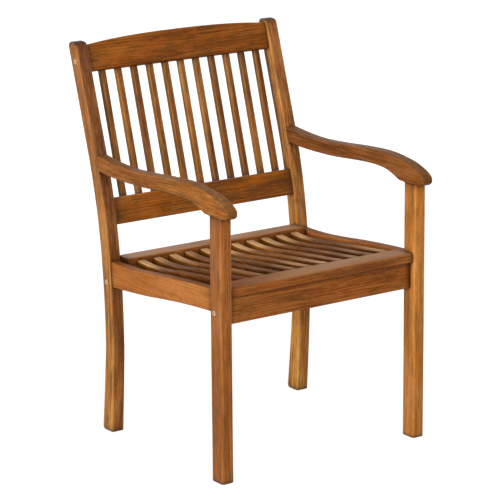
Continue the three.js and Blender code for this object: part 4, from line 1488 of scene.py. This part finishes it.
@dataclass
class Legs:
    """Straight front legs and swept back legs."""

    outline: Outline
    bolts: BoltPlaces
    front_bolt: Spot
    back_bolts: Sequence[Spot]
    front_edge_radius: float = 7.0
    back_edge_radius: float = 4.5
    foot_radius: float = 3.0
    heel_radius: float = 9.0
    back_top: float = 891.4
    top_front_radius: float = 12.0
    top_rear_radius: float = 14.0
    straightened: float = 0.75
    arm_shade: float = 12.0
    front_stations: int = 60
    back_stations: int = 120

    def foot(self, z: float) -> float:
        """How far the foot's rounded edge draws in at a height."""
        return round_inset(self.foot_radius, z)

    def front_leg(self, side: Side) -> BMesh:
        """One front leg, drilled for the front rail's bolt.

        Args:
            side: the side of the chair.

        Returns:
            The leg in millimetres.
        """
        out = self.outline
        x = side.value * out.leg_x
        top = out.arm_height - out.arm_crown_rise

        def section(z: float) -> Section:
            """Section at a height."""
            inset = self.foot(z)
            corner = max(self.front_edge_radius - inset / 2, self.front_edge_radius / 2)
            half = out.leg_width / 2 - inset
            return Section(x - half, x + half, inset, out.front_leg_depth - inset, (corner,) * 4)

        feet = eased(self.foot_radius, ROUND_STEPS // 2)
        stations = [(z, section(z)) for z in (*feet, *evenly(8, top - 2, self.front_stations), top - 1)]
        stations += [(top - BUTT_CHAMFER, section(top)), (top, section(top).inset(BUTT_CHAMFER))]
        # The dark at the leg's top reaches further, as a painted shadow of the arm's nose on the leg
        leg = loft(Run.UP, stations, grime_and_shadow=(GRIME_REACH, self.arm_shade))
        return drilled(leg, self.bolts.bolt_holes(side, *self.front_bolt))

    def back_leg(self, side: Side) -> BMesh:
        """One back leg, swept from a straight blank and drilled for two bolts.

        Args:
            side: the side of the chair.

        Returns:
            The leg in millimetres.
        """
        out = self.outline
        x = side.value * out.leg_x

        def section(z: float) -> Section:
            """Section of the straight blank at a height."""
            below = self.back_top - z
            foot = self.foot(z)
            across = max(foot, round_inset(self.back_edge_radius, below))
            front = max(foot, round_inset(self.top_front_radius, below))
            rear = max(round_inset(self.heel_radius, z), round_inset(self.top_rear_radius, below))
            corner = max(self.back_edge_radius - across / 2, self.back_edge_radius / 2)
            half, deep = out.leg_width / 2 - across, out.back_leg_depth / 2
            return Section(x - half, x + half, front - deep, deep - rear, (corner,) * 4)

        feet = eased(self.heel_radius, ROUND_STEPS)
        tops = [self.back_top - depth for depth in reversed(eased(self.top_rear_radius, ROUND_STEPS))]
        heights = [*feet, *evenly(self.heel_radius + 4, tops[0] - 4, self.back_stations), *tops]
        blank = loft(Run.UP, [(z, section(z)) for z in heights], grime_and_shadow=(self.top_rear_radius,) * 2)
        blank.transform(Matrix.Scale(MM, 4))
        lengths = ("waist_height", "waist_centre", "foot_sweep", "bend_top")
        values = {name: getattr(out, name) * MM for name in lengths}
        values |= {name: getattr(out, name) for name in ("sweep_power", "bend_power", "rake", "foot_flare")}
        values["Material"] = BACK_LEG_WOOD.material()
        leg = bmesh.new()
        leg.from_mesh(swept_leg_rule().apply(as_mesh("leg blank", blank), values))
        leg.transform(Matrix.Scale(1 / MM, 4))
        holes = [hole for spot in self.back_bolts for hole in self.bolts.bolt_holes(side, *spot)]
        return drilled(leg, holes)

    def back_grain(self, point: Vector) -> Vector:
        """Grain of a back leg: mostly along the sweep, because the plank was chosen for it."""
        bend = self.outline.leg_centre(point.z) - self.outline.waist_centre
        return Vector((point.x, point.y - self.straightened * bend, point.z))

    def build(self) -> list[Object]:
        """Builds the four legs.

        Returns:
            The finished pieces.
        """
        pieces = []
        for side, front_tone, back_tone in ((Side.LEFT, 0.37, 0.34), (Side.RIGHT, 0.8, 0.62)):
            board = Board(FRONT_LEG_WOOD, front_tone, Run.UP.grain)
            pieces.append(wooden_piece(f"front_leg_{side.word}", self.front_leg(side), board))
            # Sapwood and painted light pale the left faces, and painted shade darkens the legs higher up
            board = Board(BACK_LEG_WOOD, back_tone, self.back_grain, sapwood=0.42, darkening=0.32)
            pieces.append(wooden_piece(f"back_leg_{side.word}", self.back_leg(side), board))
        return pieces


@dataclass
class Armrests:
    """Scrolled armrests with a drooping rounded nose."""

    outline: Outline
    width: float = 29.0
    thickness: float = 30.0
    edge_radius: float = 4.2
    joint_radius: float = 0.6
    overhang: float = 25.0
    nose_round: float = 13.0
    scribe: float = 60.0
    joint_fade: float = 6.0
    post_stations: int = 40
    stations: int = 90
    top_shares: Table = (
        (-0.052, 1.45), (-0.048, 1.24), (-0.036, 1.04), (-0.012, 0.8), (0.025, 0.56), (0.070, 0.34),
        (0.125, 0.19), (0.200, 0.04), (0.290, 0.0), (0.430, 0.11), (0.590, 0.31), (0.740, 0.42),
        (0.870, 0.34), (1.0, 0.11), (1.060, 0.0),
    )
    under_shares: Table = (
        (0.086, 2.0), (0.120, 1.88), (0.160, 1.62), (0.200, 1.38), (0.245, 1.22), (0.310, 1.15),
        (0.400, 1.18), (0.500, 1.29), (0.620, 1.43), (0.750, 1.48), (0.880, 1.45), (1.0, 1.32),
        (1.060, 1.24),
    )

    @property
    def reach(self) -> float:
        """Where an armrest meets the back leg."""
        return self.outline.leg_front(self.outline.arm_height - self.thickness / 2)

    def top(self, y: float) -> float:
        """Top of an armrest at a distance from the front."""
        return self.outline.arm_height - self.thickness * curve_through(self.top_shares, y / self.reach)

    def bottom(self, y: float) -> float:
        """Underside of an armrest at a distance from the front."""
        seat = self.outline.arm_height - self.outline.arm_crown_rise + self.outline.face_gap
        if y > self.outline.front_leg_depth:
            share = curve_through(self.under_shares, y / self.reach)
            return max(self.outline.arm_height - self.thickness * share, seat)
        return seat + round_inset(self.nose_round, y + self.overhang)

    def section(self, y: float, side: Side) -> Section:
        """Section of an armrest at a distance from the front."""
        depth = self.outline.front_leg_depth
        near = min(max(-y, y - depth, 0.0) / self.joint_fade, 1.0)
        lower = self.joint_radius + (self.edge_radius - self.joint_radius) * near
        inset = round_inset(self.edge_radius, y + self.overhang)
        half = self.width / 2 - inset
        x = side.value * self.outline.leg_x
        upper = self.edge_radius
        return Section(self.bottom(y), self.top(y), x - half, x + half, (upper, lower, lower, upper))

    def build(self) -> list[Object]:
        """Builds both armrests.

        Returns:
            The finished pieces.
        """
        pieces, out, end = [], self.outline, self.reach
        nose = [depth - self.overhang for depth in eased(self.nose_round, ROUND_STEPS)]
        places = [*nose[:-1], *evenly(nose[-1], out.front_leg_depth + 30, self.post_stations)]
        places += evenly(out.front_leg_depth + 32, end - 2, self.stations)
        for side, tone, fading in ((Side.LEFT, 0.52, 0.3), (Side.RIGHT, 0.27, 0.0)):
            stations = [(y, self.section(y, side)) for y in places]
            last = self.section(end, side)
            stations += [(end - BUTT_CHAMFER, last), (end, last.inset(BUTT_CHAMFER))]
            bar = loft(Run.BACKWARDS, stations, out.scribed(end - self.scribe, end))
            board = Board(ARM_WOOD, tone, Run.BACKWARDS.grain, fading=fading)
            pieces.append(wooden_piece(f"armrest_{side.word}", bar, board))
        return pieces


@dataclass
class Fasteners:
    """Socket-head bolts, slotted barrel nuts and dowels of the bolted rails."""

    outline: Outline
    places: BoltPlaces
    seat: SeatFrame
    panel: BackPanel
    chamfer: float = 0.6
    arris: float = 0.5
    socket_across_corners: float = 4.62
    socket_depth: float = 3.0
    slot_width: float = 1.6
    slot_depth: float = 1.5
    under_edge: float = 0.2
    mouth_width: float = 0.9
    mouth_depth: float = 0.25
    drill_point: float = 0.6
    sides: int = 48

    def turned(self, rings: Sequence[tuple[float, float]], socket: float = 0.0) -> BMesh:
        """Body of rings along X.

        Args:
            rings: place and radius of each ring, from the first end to the last.
            socket: half the width over flats of the rings that have the radius 0 and are hexagons.

        Returns:
            The closed body in millimetres.
        """
        body, loops = bmesh.new(), []
        for x, radius in rings:
            loops.append([])
            for angle in (2 * math.pi * k / self.sides for k in range(self.sides)):
                reach = radius or socket / math.cos((angle % (math.pi / 3)) - math.pi / 6)
                loops[-1].append(body.verts.new((x, reach * math.cos(angle), reach * math.sin(angle))))
        return closed(body, loops)

    def bolt(self) -> BMesh:
        """Bolt along X with its head's face at X = 0 and its shank behind it.

        Returns:
            The bolt in millimetres.
        """
        head, shank, deep = self.places.head_diameter / 2, self.places.shank_diameter / 2, self.socket_depth
        under = -self.places.head_height
        end = self.places.bolt_end + self.places.head_recess - self.outline.overall_width / 2
        flat = self.socket_across_corners / 2 * math.cos(math.pi / 6)
        edge, point = self.under_edge, self.drill_point
        return self.turned([
            (end, shank - self.arris), (end + self.arris, shank), (under - 0.01, shank),
            (under, head - edge), (under + edge, head), (-self.chamfer, head),
            (-self.chamfer / 4, head - self.chamfer / 2), (0.0, head - self.chamfer),
            (0.0, flat + self.mouth_width), (-self.mouth_depth, 0.0), (-deep, 0.0), (-deep - point, point),
        ], flat)

    def nut(self) -> BMesh:
        """Barrel nut along Y with its slot towards the back, crossed by the bolt's hole.

        Returns:
            The nut in millimetres.
        """
        radius, half, arris = self.places.nut_diameter / 2, self.places.nut_length / 2, self.arris
        ends = [(-half, radius - arris), (half, radius - arris)]
        body = self.turned([ends[0], (arris - half, radius), (half - arris, radius), ends[1]])
        upright = Matrix.Rotation(math.pi / 2, 3, "Z")
        bmesh.ops.rotate(body, verts=body.verts, cent=(0, 0, 0), matrix=upright)
        past = Vector((radius + self.places.past_face, 0, 0))
        body = drilled(body, [(-past, past, self.places.bore)])
        slot = bmesh.new()
        size = Matrix.Diagonal((2 * past.x, 2 * self.slot_depth, self.slot_width, 1))
        bmesh.ops.create_cube(slot, size=1, matrix=Matrix.Translation((0, half, 0)) @ size)
        return cut_from(body, slot)

    def set_out(
        self, name: str, one: BMesh, spots: Sequence[tuple[Vector, Sequence[float]]], nodes: Sequence[str]
    ) -> Object:
        """Sets one fastener at every spot.

        Args:
            name: the piece's name.
            one: the fastener in millimetres.
            spots: place in the chair and turn of each fastener.
            nodes: the nodes that they stand for.

        Returns:
            The finished piece.
        """
        one.transform(Matrix.Scale(MM, 4))
        pattern = in_scene(f"{name} pattern", as_mesh(name, one, crease=35))
        marks = bpy.data.meshes.new(f"{name} spots")
        marks.from_pydata([tuple(p * MM + Vector((0, FRONT_FACE_Y, 0))) for p, _ in spots], [], [])
        mark(marks, "turn", [turn for _, turn in spots])
        result = fastener_rule().apply(marks, {"Fastener": pattern, "Material": ZINC.material()})
        bpy.data.objects.remove(pattern)
        return hand_over(name, result, ZINC.slot, nodes)

    def build(self) -> list[Object]:
        """Builds the bolts and nuts and dresses the dowels.

        Returns:
            The finished pieces.
        """
        heads = self.outline.overall_width / 2 - self.places.head_recess
        crest = Matrix.Translation((0, 0, self.panel.bolt_height))
        rails = (
            ("front_rail", Matrix.Translation((0, *self.seat.front_bolt)), 0.0, (0.0, 0.0, 0.0)),
            ("rear_rail", Matrix.Translation((0, *self.seat.rear_bolt)), 0.0, (0.0, 0.0, math.pi)),
            ("crest_rail", self.panel.place @ crest, 0.3, (-self.panel.lean, 0.0, 0.0)),
        )
        bolts, nuts, nodes = [], [], []
        for side in Side:
            for rail, place, roll, turn in rails:
                flip = 0.0 if side is Side.RIGHT else math.pi
                bolts.append((place @ Vector((side.value * heads, 0, 0)), (roll, 0.0, flip)))
                nuts.append((place @ Vector((side.value * self.places.nut_x, 0, 0)), turn))
                nodes.append(f"{rail}_{{}}_{side.word}")
        pieces = [
            self.set_out(name, one, spots, [node.format(kind) for node in nodes])
            for name, one, spots, kind in (
                ("rail_bolts", self.bolt(), bolts, "bolt"), ("barrel_nuts", self.nut(), nuts, "nut")
            )
        ]
        dowels = [frame["nodes"][node.format("dowel")] for node in nodes]
        for slot in (slot for dowel in dowels for slot in dowel.material_slots):
            slot.material = BEECH.material()
        return pieces + dowels


@dataclass
class Studio:
    """Pale floor, soft lights and a long lens at the photograph's viewing angle."""

    azimuth: float = -35.158
    elevation: float = 14.498
    roll: float = -0.473
    eye: tuple[float, float, float] = (-3187.8, -4238.9, 1855.3)
    focal_pixels: float = 2515.7
    frame_pixels: float = 500.0
    sensor: float = 36.0
    ambient: float = 0.12
    floor_shade: str = "#8e8c88"
    seen_shade: str = "#747474"
    aim: tuple[float, float, float] = (0.0, 0.0, 0.45)
    floor_reach: float = 30.0
    glow_near: float = 0.8
    glow_far: float = 3.0
    glow_least: float = 0.92
    lights: tuple[tuple[str, tuple[float, float, float], float, float], ...] = (
        ("key", (-5.8, -1.45, 1.35), 2.7, 285.0),
        ("fill", (-0.4, -3.4, 1.5), 1.5, 68.0),
        ("top", (0.1, 0.2, 3.2), 1.6, 16.0),
        ("right", (5.6, 0.4, 1.1), 2.7, 235.0),
        ("back", (0.6, 5.4, 1.2), 2.7, 235.0),
    )

    def camera(self) -> None:
        """Adds the camera and makes it the scene's."""
        a, e, r = (math.radians(v) for v in (self.azimuth, self.elevation, self.roll))
        back = Vector((math.sin(a) * math.cos(e), -math.cos(a) * math.cos(e), math.sin(e)))
        level = Vector((math.cos(a), math.sin(a), 0.0))
        upright = back.cross(level)
        right = level * math.cos(r) + upright * math.sin(r)
        up = back.cross(right)
        data = bpy.data.cameras.new("camera")
        data.sensor_width = self.sensor
        data.lens = self.focal_pixels / self.frame_pixels * self.sensor
        data.clip_end = 50.0
        camera = in_scene("camera", data)
        turn = Matrix((right, up, back)).transposed().to_4x4()
        eye = Vector(self.eye) * MM + Vector((0, FRONT_FACE_Y, 0))
        camera.matrix_world = Matrix.Translation(eye) @ turn
        bpy.context.scene.camera = camera

    def seen_or_mirrored(self, tree: NodeTree) -> NodeSocket:
        """Value of 1 where the camera looks, straight or by way of a mirror or glass.

        Args:
            tree: the shader tree of the floor or the world.

        Returns:
            The value.
        """
        path = add_node(tree, "ShaderNodeLightPath").node.outputs
        seen = path["Is Camera Ray"]
        for other in ("Is Glossy Ray", "Is Transmission Ray"):
            seen = add_node(tree, "ShaderNodeMath", {0: seen, 1: path[other]}, operation="MAXIMUM")
        return seen

    def light(self) -> None:
        """Adds the soft lights and the pale world."""
        for name, place, size, power in self.lights:
            data = bpy.data.lights.new(name, "AREA")
            data.shape, data.size, data.energy = "SQUARE", size, power
            lamp = in_scene(name, data)
            lamp.location = place
            lamp.rotation_mode = "QUATERNION"
            lamp.rotation_quaternion = (Vector(self.aim) - Vector(place)).to_track_quat("-Z", "Y")
        world = bpy.data.worlds.new("studio")
        bpy.context.scene.world = world
        tree = empty_tree(world)
        strength = add_node(tree, "ShaderNodeMapRange", {0: self.seen_or_mirrored(tree), 3: self.ambient})
        glow = add_node(tree, "ShaderNodeBackground", {"Color": (1, 1, 1, 1), "Strength": strength})
        add_node(tree, "ShaderNodeOutputWorld", {0: glow})

    def floor(self) -> None:
        """Adds the plain pale floor, white to the camera but for the chair's soft shadow."""
        mesh = bpy.data.meshes.new("floor")
        far = self.floor_reach
        corners = [(-far, -far, 0), (far, -far, 0), (far, far, 0), (-far, far, 0)]
        mesh.from_pydata(corners, [], [(0, 1, 2, 3)])
        floor = in_scene("floor", mesh)
        material = bpy.data.materials.new("pale floor")
        tree = empty_tree(material)
        add = partial(add_node, tree)
        seen = self.seen_or_mirrored(tree)
        place = add("ShaderNodeTexCoord", out="Object")
        away = add("ShaderNodeVectorMath", {0: place}, "Value", operation="LENGTH")
        fade = {0: away, 1: self.glow_near, 2: self.glow_far, 3: self.glow_least}
        white = add("ShaderNodeMapRange", fade)
        glow = add("ShaderNodeMath", {0: seen, 1: white}, operation="MULTIPLY")
        shades = {6: linear(self.floor_shade), 7: linear(self.seen_shade)}
        tint = add("ShaderNodeMix", {0: seen, **shades}, 2, data_type="RGBA")
        paint = add("ShaderNodeBsdfDiffuse", {"Color": tint})
        light = add("ShaderNodeEmission", {"Color": (1, 1, 1, 1), "Strength": glow})
        both = add("ShaderNodeAddShader", {0: paint, 1: light})
        add("ShaderNodeOutputMaterial", {"Surface": both})
        mesh.materials.append(material)

    def build(self) -> None:
        """Sets up the whole studio with plain colour management."""
        bpy.context.scene.view_settings.view_transform = "Standard"
        self.camera()
        self.light()
        self.floor()


def main() -> None:
    """Builds the studio and the chair in order and reports each piece."""
    logging.basicConfig(level=logging.INFO, format="%(name)s: %(message)s")
    Studio().build()
    outline = Outline()
    bolts = BoltPlaces(outline)
    seat, back = SeatFrame(outline, bolts), BackPanel(outline, bolts)
    crest = back.in_chair(Vector((0, 0, back.bolt_height)))
    pieces = []
    for assembly in (
        Legs(outline, bolts, seat.front_bolt, (seat.rear_bolt, (crest.y, crest.z))), Armrests(outline),
        seat, SeatPanel(outline, seat), back, Fasteners(outline, bolts, seat, back),
    ):
        pieces += assembly.build()
    for piece in pieces:
        log.info("%s: %d faces", piece.name, len(piece.data.polygons))


if __name__ == "__main__":
    main()
